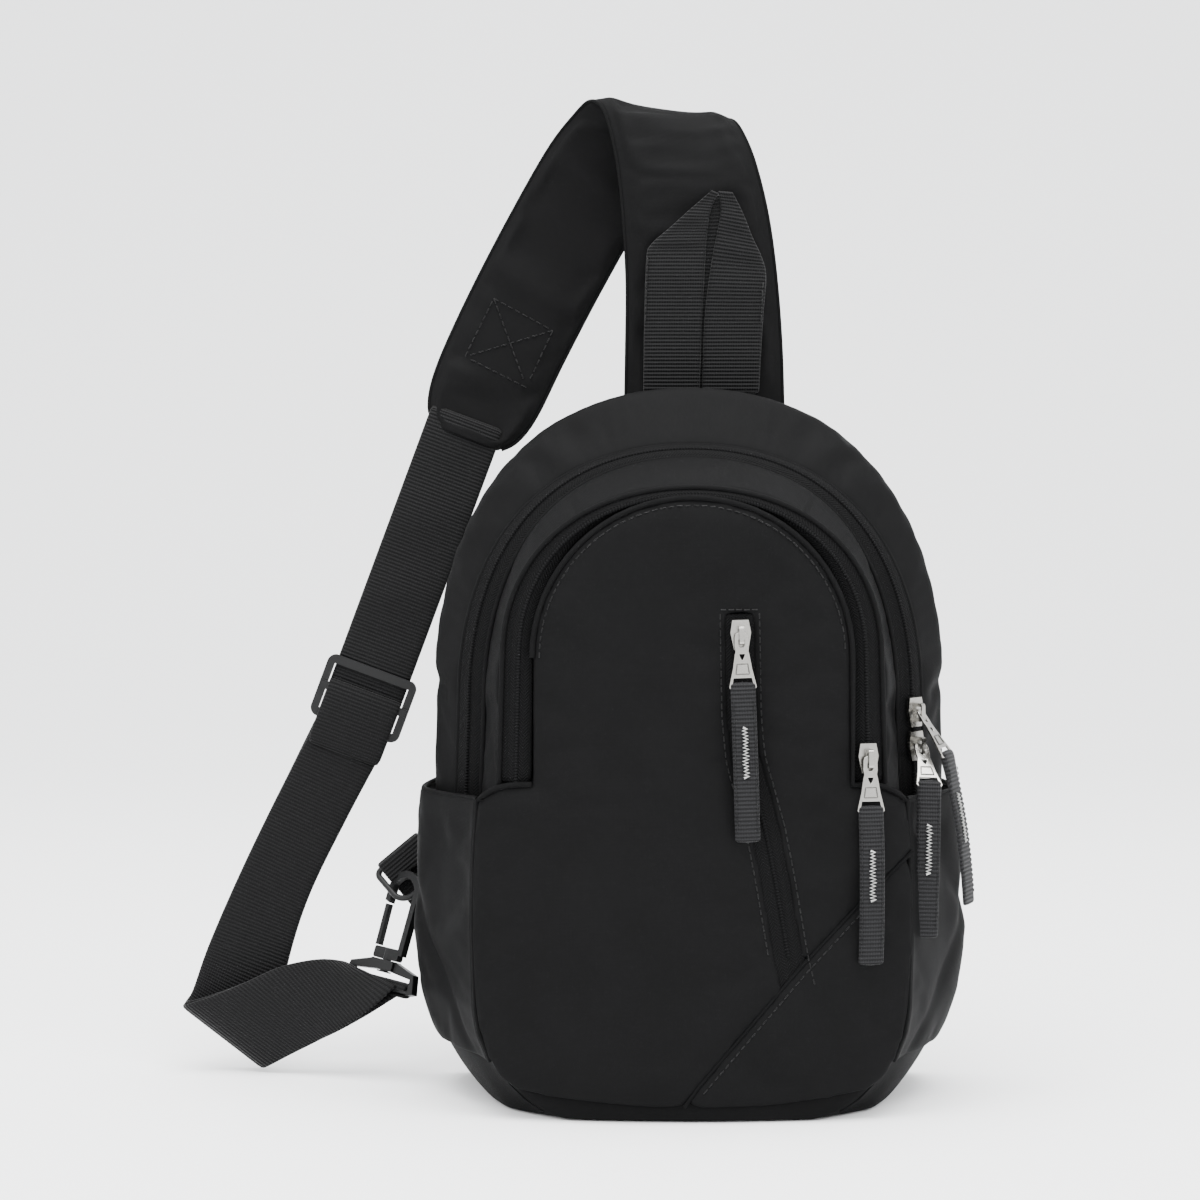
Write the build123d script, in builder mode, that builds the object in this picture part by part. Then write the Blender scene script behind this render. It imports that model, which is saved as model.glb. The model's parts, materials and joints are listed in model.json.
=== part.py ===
from build123d import *
import math
import os

# Sling bag standing on its base, with its shoulder strap propped above and beside it.
# Millimetres. Origin: centre of the base on the ground. +Z up, -Y the front, +X the wearer's left.

os.makedirs("parts", exist_ok=True)

# ---------------------------------------------------------------- driving dimensions
WALL = 3.0                 # sewn wall: shell fabric, foam and lining together
SHEET = 2.2                # single thickness of shell fabric with its backing
GAP = 0.3                  # clearance between pieces that move past each other
BASE_SEAM_Z = 26.0         # height of the seam between the base and the walls
BELLY_Z = 60.0             # height of the widest part of the body
CROWN = 0.63               # fullness of the arched top, 0.55 being an ellipse

BACK_Y = 46.0              # seam of the back panel
BELLY_Y = 14.0             # widest section of the main compartment
MAIN_ZIP_Y = (-5.0, -14.0)     # rear and front edge of the main zip tape
FRONT_Y = -52.0            # where the front gusset is trimmed to the front face

FACE_Y = -56.0             # front face on the centre line at LEAN_Z
FACE_RADIUS = 358.0        # horizontal crown of the front face
LEAN = 3.0                 # the front face leans back, degrees
LEAN_Z = 80.0

PANEL_HALF = 67.0          # arched top of the front panel
PANEL_SPRING_Z = 194.0
SHOULDER_Z = 141.0         # where the front zip ends on each side
ZIP_HALF = 80.0            # outer edge of the front zip at its ends
ZIP_TOP_Z = 264.0

WEB_WIDTH = 33.0           # shoulder webbing
WEB_THICK = 1.4


# ---------------------------------------------------------------- shared outlines
def section(y, belly, half, top, foot):
    """One upright section of the body: depth, widest half width, half width at the
    spring of the arch, height of the arch, half width on the ground."""
    return (y, belly, half, top, foot)


def between(first, last, share):
    """Section part of the way from one section to another."""
    return tuple(a + (b - a) * share for a, b in zip(first, last))


SPRING_Z = 172.0
BACK = section(BACK_Y, 104.0, 101.0, 299.0, 89.0)
BELLY = section(BELLY_Y, 107.0, 108.5, 304.0, 93.0)
MAIN_ZIP_REAR = section(MAIN_ZIP_Y[0], 103.0, 99.5, 282.0, 91.0)
MAIN_ZIP_FRONT = section(MAIN_ZIP_Y[1], 92.0, 88.5, 277.0, 89.0)
FRONT = section(FRONT_Y, 84.0, 77.0, 262.0, 78.0)


def arch(place, inset=0.0):
    """Face of an arched section, shrunk by inset all round."""
    y, belly, half, top, foot = place
    belly, half, top, foot = belly - inset, half - inset, top - inset, foot - inset
    rise = top - SPRING_Z
    with BuildSketch(Plane.XZ.offset(-y)) as outline:
        with BuildLine():
            Bezier((foot, inset), (belly, inset + 8), (belly, BELLY_Z - 25), (belly, BELLY_Z))
            Line((belly, BELLY_Z), (half, SPRING_Z))
            Bezier((half, SPRING_Z), (half, SPRING_Z + CROWN * rise), (CROWN * half, top), (0, top))
            mirror(about=Plane.YZ)
            Line((-foot, inset), (foot, inset))
        make_face()
    return outline.sketch


def arches(*places, inset=0.0):
    return [arch(place, inset) for place in places]


def panel_outline():
    """Front panel: semicircular top, straight sides, shoulders at the ends of the zip,
    full width below them and a narrow foot."""
    half = PANEL_HALF
    with BuildSketch(Plane.XZ) as outline:
        with BuildLine():
            Line((-half, SHOULDER_Z), (-half, PANEL_SPRING_Z))
            ThreePointArc((-half, PANEL_SPRING_Z), (0, PANEL_SPRING_Z + half), (half, PANEL_SPRING_Z))
            Line((half, PANEL_SPRING_Z), (half, SHOULDER_Z))
            Bezier((half, SHOULDER_Z), (80, 141), (84, 139), (90, 134))
            Bezier((90, 134), (93.5, 110), (93.5, 70), (91, 45))
            Bezier((91, 45), (88, 30), (85, 19), (74, 13))
            ThreePointArc((74, 13), (0, 6.6), (-74, 13))
            Bezier((-74, 13), (-85, 19), (-88, 30), (-91, 45))
            Bezier((-91, 45), (-93.5, 70), (-93.5, 110), (-90, 134))
            Bezier((-90, 134), (-84, 139), (-80, 141), (-half, SHOULDER_Z))
        make_face()
    return outline.sketch


def front_arch(half, top, foot_half):
    """Arch used for the two edges of the front zip, standing on the shoulder."""
    rise = top - PANEL_SPRING_Z
    with BuildSketch(Plane.XZ) as outline:
        with BuildLine():
            Line((foot_half, SHOULDER_Z), (half, PANEL_SPRING_Z))
            Bezier((half, PANEL_SPRING_Z), (half, PANEL_SPRING_Z + 0.6 * rise),
                   (0.6 * half, top), (0, top))
            mirror(about=Plane.YZ)
            Line((-foot_half, SHOULDER_Z), (foot_half, SHOULDER_Z))
        make_face()
    return outline.sketch


def panel_arch(half):
    """Arched upper part of the front panel alone."""
    with BuildSketch(Plane.XZ) as outline:
        with BuildLine():
            Line((-half, SHOULDER_Z), (-half, PANEL_SPRING_Z))
            ThreePointArc((-half, PANEL_SPRING_Z), (0, PANEL_SPRING_Z + half), (half, PANEL_SPRING_Z))
            Line((half, PANEL_SPRING_Z), (half, SHOULDER_Z))
            Line((half, SHOULDER_Z), (-half, SHOULDER_Z))
        make_face()
    return outline.sketch


FACE_PLANE = Plane(origin=(0, 0, LEAN_Z), z_dir=(0, math.sin(math.radians(LEAN)),
                                                 math.cos(math.radians(LEAN))), x_dir=(1, 0, 0))


def face_shell(depth, thick):
    """Curved leaning shell whose outer skin lies depth behind the front face."""
    edge = 130.0
    sag = edge * edge / (2 * FACE_RADIUS)
    outer = FACE_Y + depth
    inner = outer + thick
    with BuildPart(mode=Mode.PRIVATE) as shell:
        with BuildSketch(FACE_PLANE.offset(-110)):
            with BuildLine():
                ThreePointArc((-edge, outer + sag), (0, outer), (edge, outer + sag))
                Line((edge, outer + sag), (edge, inner + sag))
                ThreePointArc((edge, inner + sag), (0, inner), (-edge, inner + sag))
                Line((-edge, inner + sag), (-edge, outer + sag))
            make_face()
        extrude(amount=320)
    return shell.part


def face_point(x, z, depth=0.0):
    """Point on the leaning front face."""
    y = FACE_Y + depth + x * x / (2 * FACE_RADIUS) + (z - LEAN_Z) * math.tan(math.radians(LEAN))
    return Vector(x, y, z)


FACE_SEAM = SHEET + 1.6    # the walls end this far behind the front face
TRIM_REACH = 60.0
CUT = 80.0                 # outlines of the front face are extruded this far to meet its shell


def finish(piece, name):
    piece.part.label = name
    export_step(piece.part, f"parts/{name}.step")


# ---------------------------------------------------------------- back of the bag
with BuildPart() as back_panel:
    extrude(arch(BACK), amount=-2.0)
finish(back_panel, "back_panel")

with BuildPart() as back_foam:
    extrude(arch(BACK, inset=WALL + 0.2), amount=5.0)
finish(back_foam, "back_foam")

with BuildPart() as back_binding:
    extrude(arch(BACK, inset=-1.5), amount=-2.0)
    extrude(arch(BACK), amount=-2.0, mode=Mode.SUBTRACT)
    with Locations((0, 0, -50 + BASE_SEAM_Z)):
        Box(260, 200, 100, mode=Mode.SUBTRACT)
finish(back_binding, "back_binding")

# ---------------------------------------------------------------- walls of the bag
with BuildPart() as rear_gusset:
    loft(sections=arches(BACK, BELLY), ruled=True)
    loft(sections=arches(BELLY, MAIN_ZIP_REAR), ruled=True)
    loft(sections=arches(BACK, BELLY, inset=WALL), ruled=True, mode=Mode.SUBTRACT)
    loft(sections=arches(BELLY, MAIN_ZIP_REAR, inset=WALL), ruled=True, mode=Mode.SUBTRACT)
    split(bisect_by=Plane.XY.offset(BASE_SEAM_Z), keep=Keep.TOP)
finish(rear_gusset, "rear_gusset")

ZIP_FOOT_Z = 70.0          # the main zip ends inside the side pockets

with BuildPart() as main_zipper_tape:
    loft(sections=arches(MAIN_ZIP_REAR, MAIN_ZIP_FRONT), ruled=True)
    loft(sections=arches(MAIN_ZIP_REAR, MAIN_ZIP_FRONT, inset=WALL), ruled=True, mode=Mode.SUBTRACT)
    split(bisect_by=Plane.XY.offset(ZIP_FOOT_Z), keep=Keep.TOP)
finish(main_zipper_tape, "main_zipper_tape")

COIL_REAR = between(MAIN_ZIP_REAR, MAIN_ZIP_FRONT, 0.36)
COIL_FRONT = between(MAIN_ZIP_REAR, MAIN_ZIP_FRONT, 0.64)
COIL_HIGH = 1.3

with BuildPart() as main_zipper_coil:
    loft(sections=arches(COIL_REAR, COIL_FRONT, inset=-COIL_HIGH), ruled=True)
    loft(sections=arches(COIL_REAR, COIL_FRONT), ruled=True, mode=Mode.SUBTRACT)
    split(bisect_by=Plane.XY.offset(ZIP_FOOT_Z), keep=Keep.TOP)
finish(main_zipper_coil, "main_zipper_coil")

with BuildPart() as front_gusset:
    loft(sections=arches(MAIN_ZIP_FRONT, FRONT), ruled=True)
    loft(sections=arches(MAIN_ZIP_FRONT, FRONT, inset=WALL), ruled=True, mode=Mode.SUBTRACT)
    add(face_shell(-TRIM_REACH, TRIM_REACH + FACE_SEAM), mode=Mode.SUBTRACT)
    split(bisect_by=Plane.XY.offset(BASE_SEAM_Z), keep=Keep.TOP)
finish(front_gusset, "front_gusset")

with BuildPart() as lower_gusset:
    loft(sections=arches(MAIN_ZIP_REAR, MAIN_ZIP_FRONT), ruled=True)
    loft(sections=arches(MAIN_ZIP_REAR, MAIN_ZIP_FRONT, inset=WALL), ruled=True, mode=Mode.SUBTRACT)
    split(bisect_by=Plane.XY.offset(BASE_SEAM_Z), keep=Keep.TOP)
    split(bisect_by=Plane.XY.offset(ZIP_FOOT_Z), keep=Keep.BOTTOM)
finish(lower_gusset, "lower_gusset")

with BuildPart() as base_panel:
    loft(sections=arches(BACK, BELLY), ruled=True)
    loft(sections=arches(BELLY, MAIN_ZIP_REAR), ruled=True)
    loft(sections=arches(MAIN_ZIP_REAR, MAIN_ZIP_FRONT), ruled=True)
    loft(sections=arches(MAIN_ZIP_FRONT, FRONT), ruled=True)
    loft(sections=arches(BACK, BELLY, inset=WALL), ruled=True, mode=Mode.SUBTRACT)
    loft(sections=arches(BELLY, MAIN_ZIP_REAR, inset=WALL), ruled=True, mode=Mode.SUBTRACT)
    loft(sections=arches(MAIN_ZIP_REAR, MAIN_ZIP_FRONT, inset=WALL), ruled=True, mode=Mode.SUBTRACT)
    loft(sections=arches(MAIN_ZIP_FRONT, FRONT, inset=WALL), ruled=True, mode=Mode.SUBTRACT)
    add(face_shell(-TRIM_REACH, TRIM_REACH + FACE_SEAM), mode=Mode.SUBTRACT)
    split(bisect_by=Plane.XY.offset(BASE_SEAM_Z), keep=Keep.BOTTOM)
finish(base_panel, "base_panel")

# ---------------------------------------------------------------- inside
DIVIDER_FOOT = 6.0

with BuildPart() as divider_panel:
    extrude(arch(MAIN_ZIP_FRONT, inset=WALL + 0.2), amount=-1.2)
    split(bisect_by=Plane.XY.offset(DIVIDER_FOOT), keep=Keep.TOP)
finish(divider_panel, "divider_panel")

with BuildPart() as slip_pocket:
    with BuildSketch(Plane.XZ.offset(-(BACK_Y - 7.0))):
        with Locations((0, 115)):
            RectangleRounded(150, 130, 12)
    extrude(amount=0.8)
finish(slip_pocket, "slip_pocket")

# ---------------------------------------------------------------- front face
POCKET_TOP = (19.5, 213.0)         # slanted pocket zip: ends of its track
POCKET_BEND = (21.5, 150.0)
POCKET_FOOT = (41.5, 58.0)


def pocket_track(width, shorten=0.0):
    """Strip along the pocket zip: straight, then bending outwards."""
    with BuildSketch(Plane.XZ) as strip:
        with BuildLine():
            FilletPolyline((POCKET_TOP[0], POCKET_TOP[1] - shorten), POCKET_BEND,
                           (POCKET_FOOT[0], POCKET_FOOT[1] + shorten), radius=90)
        trace(line_width=width)
    return strip.sketch


SEAM_HIGH = (89.0, 111.0)          # slanted seam of the lower corner
SEAM_MIDDLE = (20.0, 36.0)
SEAM_LOW = (-12.0, 5.0)


def corner_region():
    """Everything below and right of the slanted seam."""
    with BuildSketch(Plane.XZ) as region:
        with BuildLine():
            Polyline(SEAM_LOW, SEAM_MIDDLE, SEAM_HIGH, (120, 145), (120, -10), (-28, -10), SEAM_LOW)
        make_face()
    return region.sketch


with BuildPart() as front_panel:
    extrude(panel_outline(), amount=CUT)
    add(face_shell(0.0, SHEET), mode=Mode.INTERSECT)
    extrude(pocket_track(13.0), amount=CUT, mode=Mode.SUBTRACT)
    extrude(corner_region(), amount=CUT, mode=Mode.SUBTRACT)
finish(front_panel, "front_panel")

with BuildPart() as front_corner_panel:
    extrude(panel_outline(), amount=CUT)
    add(face_shell(0.0, SHEET), mode=Mode.INTERSECT)
    extrude(pocket_track(13.0), amount=CUT, mode=Mode.SUBTRACT)
    extrude(corner_region(), amount=CUT, mode=Mode.INTERSECT)
finish(front_corner_panel, "front_corner_panel")

with BuildPart() as pocket_zipper_tape:
    extrude(pocket_track(13.0), amount=CUT)
    add(face_shell(0.9, 1.0), mode=Mode.INTERSECT)
finish(pocket_zipper_tape, "pocket_zipper_tape")

with BuildPart() as pocket_zipper_coil:
    extrude(pocket_track(2.6, shorten=3.0), amount=CUT)
    add(face_shell(0.0, 0.9), mode=Mode.INTERSECT)
finish(pocket_zipper_coil, "pocket_zipper_coil")

with BuildPart() as pocket_bag:
    with BuildSketch(Plane.XZ):
        with Locations((5, 115)):
            RectangleRounded(104, 150, 12)
    extrude(amount=CUT)
    add(face_shell(SHEET + 2.5, 1.0), mode=Mode.INTERSECT)
finish(pocket_bag, "pocket_bag")

with BuildPart() as front_zipper_tape:
    extrude(front_arch(78.4, ZIP_TOP_Z, ZIP_HALF), amount=CUT)
    extrude(panel_arch(PANEL_HALF), amount=CUT, mode=Mode.SUBTRACT)
    add(face_shell(1.0, SHEET), mode=Mode.INTERSECT)
finish(front_zipper_tape, "front_zipper_tape")

with BuildPart() as front_zipper_coil:
    extrude(front_arch(74.0, 261.6, 75.0), amount=CUT)
    extrude(front_arch(71.6, 259.6, 72.4), amount=CUT, mode=Mode.SUBTRACT)
    add(face_shell(-0.2, 1.2), mode=Mode.INTERSECT)
    extrude(panel_outline(), amount=CUT, mode=Mode.SUBTRACT)
finish(front_zipper_coil, "front_zipper_coil")

# ---------------------------------------------------------------- side pockets
POCKET_RIM_Z = 134.0
POCKET_FRONT_X = 90.0      # front edge, sewn to the edge of the front panel
POCKET_CLOTH = 1.6
# height, reach at the widest place and half width at the back seam
POCKET_LEVELS = [(BASE_SEAM_Z, 108.5, 107.2), (72.0, 118.0, 108.2), (POCKET_RIM_Z, 115.5, 107.6)]


def pocket_section(z, reach, back):
    """Level cut through the right-hand side pocket: a bowed strip of fabric."""
    front_y = face_point(POCKET_FRONT_X, z, SHEET + 1.0).Y
    middle = 0.45 * POCKET_FRONT_X + 0.55 * reach
    with BuildSketch(Plane.XY.offset(z)) as cut:
        with BuildLine():
            Spline((POCKET_FRONT_X, front_y), (middle, -13), (reach, 12), (back, BACK_Y - 2),
                   tangents=((0.16, 1), (-0.25, 1)))
            Line((back, BACK_Y - 2), (back - POCKET_CLOTH, BACK_Y - 2))
            Spline((back - POCKET_CLOTH, BACK_Y - 2), (reach - POCKET_CLOTH, 12),
                   (middle - 0.9 * POCKET_CLOTH, -12.2), (POCKET_FRONT_X - POCKET_CLOTH, front_y),
                   tangents=((0.25, -1), (-0.16, -1)))
            Line((POCKET_FRONT_X - POCKET_CLOTH, front_y), (POCKET_FRONT_X, front_y))
        make_face()
    return cut.sketch


with BuildPart() as side_pocket_right:
    loft(sections=[pocket_section(*level) for level in POCKET_LEVELS])
finish(side_pocket_right, "side_pocket_right")

with BuildPart() as side_pocket_left:
    add(side_pocket_right.part.mirror(Plane.YZ))
finish(side_pocket_left, "side_pocket_left")

# ---------------------------------------------------------------- strap pad and carry handle
PAD_THICK = 8.0


def cut_across(centre, width, across, along, thick, corner):
    """Rounded section across a strap, kept square to the given across direction."""
    across = Vector(across).normalized()
    normal = across.cross(Vector(along)).normalized()
    with BuildSketch(Plane(origin=centre, x_dir=across, z_dir=normal.cross(across))) as cut:
        RectangleRounded(width, thick, corner)
    return cut.sketch


# centre, width, across and along at each station of the pad, from the bag up and over
PAD_ROUTE = [
    ((7.6, 52.4, 290.0), 71, (1, 0, 0), (0, 0, 1)),
    ((7.4, 53.0, 322.0), 69.5, (1, 0, 0), (-0.02, 0, 1)),
    ((6.4, 53.0, 352.0), 67, (1, 0, 0), (-0.04, 0, 1)),
    ((4.0, 53.2, 378.0), 65, (1, 0, 0), (-0.08, 0.03, 1)),
    ((0.5, 54.6, 400.0), 62.5, (1, 0, -0.02), (-0.14, 0.12, 1)),
    ((-3.6, 58.0, 416.0), 60.5, (1, 0, -0.05), (-0.22, 0.3, 0.9)),
    ((-8.6, 64.0, 426.6), 58.5, (1, 0.03, -0.09), (-0.35, 0.75, 0.55)),
    ((-15.4, 71.5, 427.4), 56.5, (0.98, 0.05, -0.2), (-0.5, 0.8, -0.35)),
    ((-24.4, 76.8, 418.0), 54.5, (0.93, 0.04, -0.36), (-0.5, 0.35, -0.8)),
    ((-40.0, 78.6, 398.0), 52.5, (0.87, 0, -0.49), (-0.5, 0.03, -0.86)),
    ((-60.0, 77.6, 363.0), 52, (0.87, 0, -0.49), (-0.5, -0.04, -0.87)),
    ((-77.5, 73.8, 329.0), 51.5, (0.88, 0, -0.47), (-0.45, -0.12, -0.88)),
    ((-89.5, 69.2, 303.0), 50, (0.9, 0, -0.43), (-0.41, -0.14, -0.9)),
    ((-95.5, 66.4, 289.5), 43, (0.92, 0, -0.39), (-0.4, -0.14, -0.9)),
    ((-98.4, 65.0, 282.5), 30, (0.93, 0, -0.37), (-0.38, -0.12, -0.9)),
]

with BuildPart() as strap_pad:
    loft(sections=[cut_across(*stop, PAD_THICK, 3.4) for stop in PAD_ROUTE], ruled=True)
    loft(sections=[cut_across(centre, width - 8, across, along, PAD_THICK - 3.6, 2.0)
                   for centre, width, across, along in PAD_ROUTE[1:-2]], ruled=True, mode=Mode.SUBTRACT)
finish(strap_pad, "strap_pad")

with BuildPart() as strap_pad_foam:
    loft(sections=[cut_across(centre, width - 9, across, along, PAD_THICK - 4.6, 1.6)
                   for centre, width, across, along in PAD_ROUTE[2:-3]], ruled=True)
finish(strap_pad_foam, "strap_pad_foam")

HANDLE_Y = 44.0
HANDLE_THICK = 2.8

with BuildPart() as grab_handle:
    with BuildSketch(Plane.XZ.offset(-HANDLE_Y - HANDLE_THICK)):
        with BuildLine():
            Polyline((-20, 305), (-18, 366), (10, 394), (19, 394), (34.5, 359), (31.6, 305), (-20, 305))
        make_face()
        with Locations((11.6, 377)):
            SlotOverall(26, 7.4, rotation=80, mode=Mode.SUBTRACT)
    extrude(amount=HANDLE_THICK)
finish(grab_handle, "grab_handle")

# ---------------------------------------------------------------- shoulder webbing
STRAP_TOP = Vector(-98.5, 64.0, 290.0)
STRAP_BEND = Vector(-150.7, 59.2, 150.0)
UP = (STRAP_TOP - STRAP_BEND).normalized()
STRAP_ACROSS = Vector(UP.Z, 0, -UP.X).normalized()
STRAP_PLANE = Plane(origin=STRAP_BEND, x_dir=STRAP_ACROSS, z_dir=STRAP_ACROSS.cross(UP))
STRAP_LENGTH = (STRAP_TOP - STRAP_BEND).length
LAYER = 1.5                # half the distance between the two layers below the adjuster

# left and right edge of the doubled webbing from the adjuster to the hook, and the
# distance of each layer from the middle there
WEB_EDGES = [
    ((-165.9, 59.2, 156.4), (-135.6, 59.2, 143.5), 0.0),
    ((-181.4, 58.6, 127.0), (-151.6, 58.6, 113.4), LAYER),
    ((-199.0, 58.0, 91.0), (-169.3, 58.0, 77.0), LAYER),
    ((-214.0, 58.0, 57.0), (-179.5, 57.0, 44.0), LAYER),
    ((-221.4, 57.4, 36.5), (-185.0, 56.6, 11.5), LAYER),
    ((-224.2, 55.6, 31.6), (-188.0, 54.6, 5.0), LAYER),
    ((-224.8, 52.2, 30.4), (-188.6, 50.8, 2.6), LAYER),
    ((-222.0, 49.2, 31.6), (-185.4, 47.2, 3.8), LAYER),
    ((-212.0, 47.2, 35.0), (-175.5, 43.4, 9.4), LAYER),
    ((-198.0, 46.6, 40.6), (-164.0, 39.4, 15.6), LAYER),
    ((-180.5, 47.0, 48.0), (-153.0, 34.6, 22.0), LAYER),
    ((-163.0, 48.6, 50.5), (-139.5, 30.0, 31.0), 1.6),
    ((-152.5, 49.8, 47.4), (-127.5, 29.4, 40.4), 2.9),
]


def strip(edges, side, thick):
    """Flat strip between pairs of edge points, to one side of the middle."""
    cuts = []
    middles = [(Vector(*left) + Vector(*right)) * 0.5 for left, right, apart in edges]
    for i, (left, right, apart) in enumerate(edges):
        across = Vector(*right) - Vector(*left)
        along = middles[min(i + 1, len(edges) - 1)] - middles[max(i - 1, 0)]
        normal = across.cross(along).normalized()
        centre = middles[i] + normal * side * apart
        cuts.append(cut_across(centre, across.length, across, along, thick, 0.3))
    with BuildPart(mode=Mode.PRIVATE) as band:
        for first, last in zip(cuts, cuts[1:]):
            loft(sections=[first, last], ruled=True)
    return band.part


# the hook's webbing bar and the direction in which the hook stands
HOOK_FOOT = Vector(-136.2, 38.4, 41.4)
HOOK_UP = Vector(0.262, 0.20, 0.945).normalized()
BAR_ALONG = Vector(0.756, -0.630, -0.177).normalized()
BAR_ALONG = (BAR_ALONG - HOOK_UP * BAR_ALONG.dot(HOOK_UP)).normalized()
HOOK_PLANE = Plane(origin=HOOK_FOOT, x_dir=BAR_ALONG, z_dir=BAR_ALONG.cross(HOOK_UP))
BAR_PLANE = Plane(origin=HOOK_FOOT, x_dir=HOOK_UP, z_dir=BAR_ALONG)
BAR_R = 1.8
BAR_LOOP_IN = BAR_R + 0.5
BAR_LOOP_OUT = BAR_LOOP_IN + WEB_THICK

with BuildPart() as strap_webbing:
    with BuildSketch(STRAP_PLANE):
        with Locations((0, STRAP_LENGTH / 2 + 1)):
            Rectangle(WEB_WIDTH, STRAP_LENGTH + 5)
    extrude(amount=WEB_THICK / 2, both=True)
    add(strip(WEB_EDGES, 1, WEB_THICK))
    with BuildSketch(BAR_PLANE):
        Circle(BAR_LOOP_OUT)
        Circle(BAR_LOOP_IN, mode=Mode.SUBTRACT)
    extrude(amount=WEB_WIDTH / 2, both=True)
    with BuildSketch(BAR_PLANE):
        Circle(BAR_LOOP_IN)
    extrude(amount=WEB_WIDTH, both=True, mode=Mode.SUBTRACT)
finish(strap_webbing, "strap_webbing")

with BuildPart() as strap_webbing_return:
    add(strip([(*WEB_EDGES[0][:2], LAYER + 0.4)] + WEB_EDGES[1:], -1, WEB_THICK))
    with BuildSketch(BAR_PLANE):
        Circle(BAR_LOOP_OUT + 0.02)
    extrude(amount=WEB_WIDTH, both=True, mode=Mode.SUBTRACT)
finish(strap_webbing_return, "strap_webbing_return")

# ---------------------------------------------------------------- tri-glide adjuster
ADJ_WIDE = 42.0
ADJ_HIGH = 29.0
ADJ_THICK = 3.2
SLOT_WIDE = WEB_WIDTH + 2.0
ADJUSTER_AT = 18.0         # centre of the adjuster along the strap, from STRAP_BEND

with BuildPart() as adjuster:
    with BuildSketch(STRAP_PLANE.offset(-ADJ_THICK / 2)):
        with Locations((0, ADJUSTER_AT)):
            RectangleRounded(ADJ_WIDE, ADJ_HIGH, 4.0)
            Rectangle(SLOT_WIDE, ADJ_HIGH - 8.0, mode=Mode.SUBTRACT)
    extrude(amount=ADJ_THICK)
    with BuildSketch(STRAP_PLANE.offset(WEB_THICK / 2 + GAP)):
        with Locations((0, ADJUSTER_AT)):
            Rectangle(ADJ_WIDE - 2.0, 3.6)
    extrude(amount=1.6)
    for end in (-1, 1):
        with BuildSketch(STRAP_PLANE.offset(-ADJ_THICK / 2 - 0.1)):
            with Locations((0, ADJUSTER_AT + end * (ADJ_HIGH / 2 - 2.0))):
                Rectangle(SLOT_WIDE, 5.0)
        extrude(amount=ADJ_THICK / 2 + WEB_THICK / 2 + GAP + 0.1, mode=Mode.SUBTRACT)
finish(adjuster, "adjuster")

TAIL_FRONT = WEB_THICK / 2 + GAP + 1.6 + 0.3      # the tail passes in front of the middle bar
TAIL = 66.0                # sewn end of the webbing, from the middle bar down the front

with BuildPart() as webbing_end:
    with BuildSketch(STRAP_PLANE.offset(TAIL_FRONT)):
        with Locations((0, ADJUSTER_AT + 3.2 - TAIL / 2)):
            Rectangle(WEB_WIDTH, TAIL)
    extrude(amount=1.2)
    with BuildSketch(STRAP_PLANE.offset(WEB_THICK / 2 + GAP)):
        with Locations((0, ADJUSTER_AT + 2.65)):
            Rectangle(WEB_WIDTH, 1.1)
    extrude(amount=TAIL_FRONT - WEB_THICK / 2 - GAP + 0.6)
finish(webbing_end, "webbing_end")

# ---------------------------------------------------------------- D-ring and its tab
RING_MID = Vector(-127.8, 56.3, 97.4)      # middle of the straight bar
RING_ALONG = Vector(0.77, 0.06, 0.635).normalized()
RING_DOWN = Vector(0.60, -0.58, -0.70)
RING_DOWN = (RING_DOWN - RING_ALONG * RING_DOWN.dot(RING_ALONG)).normalized()
RING_PLANE = Plane(origin=RING_MID, x_dir=RING_ALONG, z_dir=RING_ALONG.cross(RING_DOWN))
RING_WIRE = 1.35
RING_HALF = 14.2
RING_DEEP = 20.0
RING_CORNER = 7.0

with BuildPart() as d_ring:
    with BuildLine(RING_PLANE):
        FilletPolyline((0, 0), (RING_HALF, 0), (RING_HALF - 1, RING_DEEP), (0, RING_DEEP),
                       radius=(2.6, RING_CORNER))
    with BuildSketch(Plane(origin=RING_MID, x_dir=RING_DOWN, z_dir=RING_ALONG)):
        Circle(RING_WIRE)
    sweep()
    mirror(about=Plane(origin=RING_MID, x_dir=RING_DOWN, z_dir=RING_ALONG))
finish(d_ring, "d_ring")

TAB_WIDTH = 23.0
TAB_THICK = 1.3
TAB_IN = RING_WIRE + 0.35
TAB_BACK = Vector(0.65, -0.14, -0.745)      # from the ring's bar back to the bag's rear seam
TAB_BACK = (TAB_BACK - RING_ALONG * TAB_BACK.dot(RING_ALONG)).normalized()
TAB_PLANE = Plane(origin=RING_MID, x_dir=TAB_BACK, z_dir=RING_ALONG)
TAB_LENGTH = 37.0

with BuildPart() as d_ring_tab:
    with BuildSketch(TAB_PLANE):
        Circle(TAB_IN + TAB_THICK)
        with Locations((TAB_LENGTH / 2, TAB_IN + TAB_THICK / 2)):
            Rectangle(TAB_LENGTH, TAB_THICK)
        with Locations((1.5, -TAB_IN - TAB_THICK / 2)):
            Rectangle(3.0, TAB_THICK)
        Circle(TAB_IN, mode=Mode.SUBTRACT)
    extrude(amount=TAB_WIDTH / 2, both=True)
finish(d_ring_tab, "d_ring_tab")

# ---------------------------------------------------------------- snap hook
EAR = 3.0
FRAME_HALF = WEB_WIDTH / 2 + 1.0
BARREL_LOW = 6.4           # underside of the barrel bar above the webbing bar
BARREL_HIGH = 11.0
PIN_R = 1.9
PIN_HEAD_R = 3.2
PIN_TOP = 16.0

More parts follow.
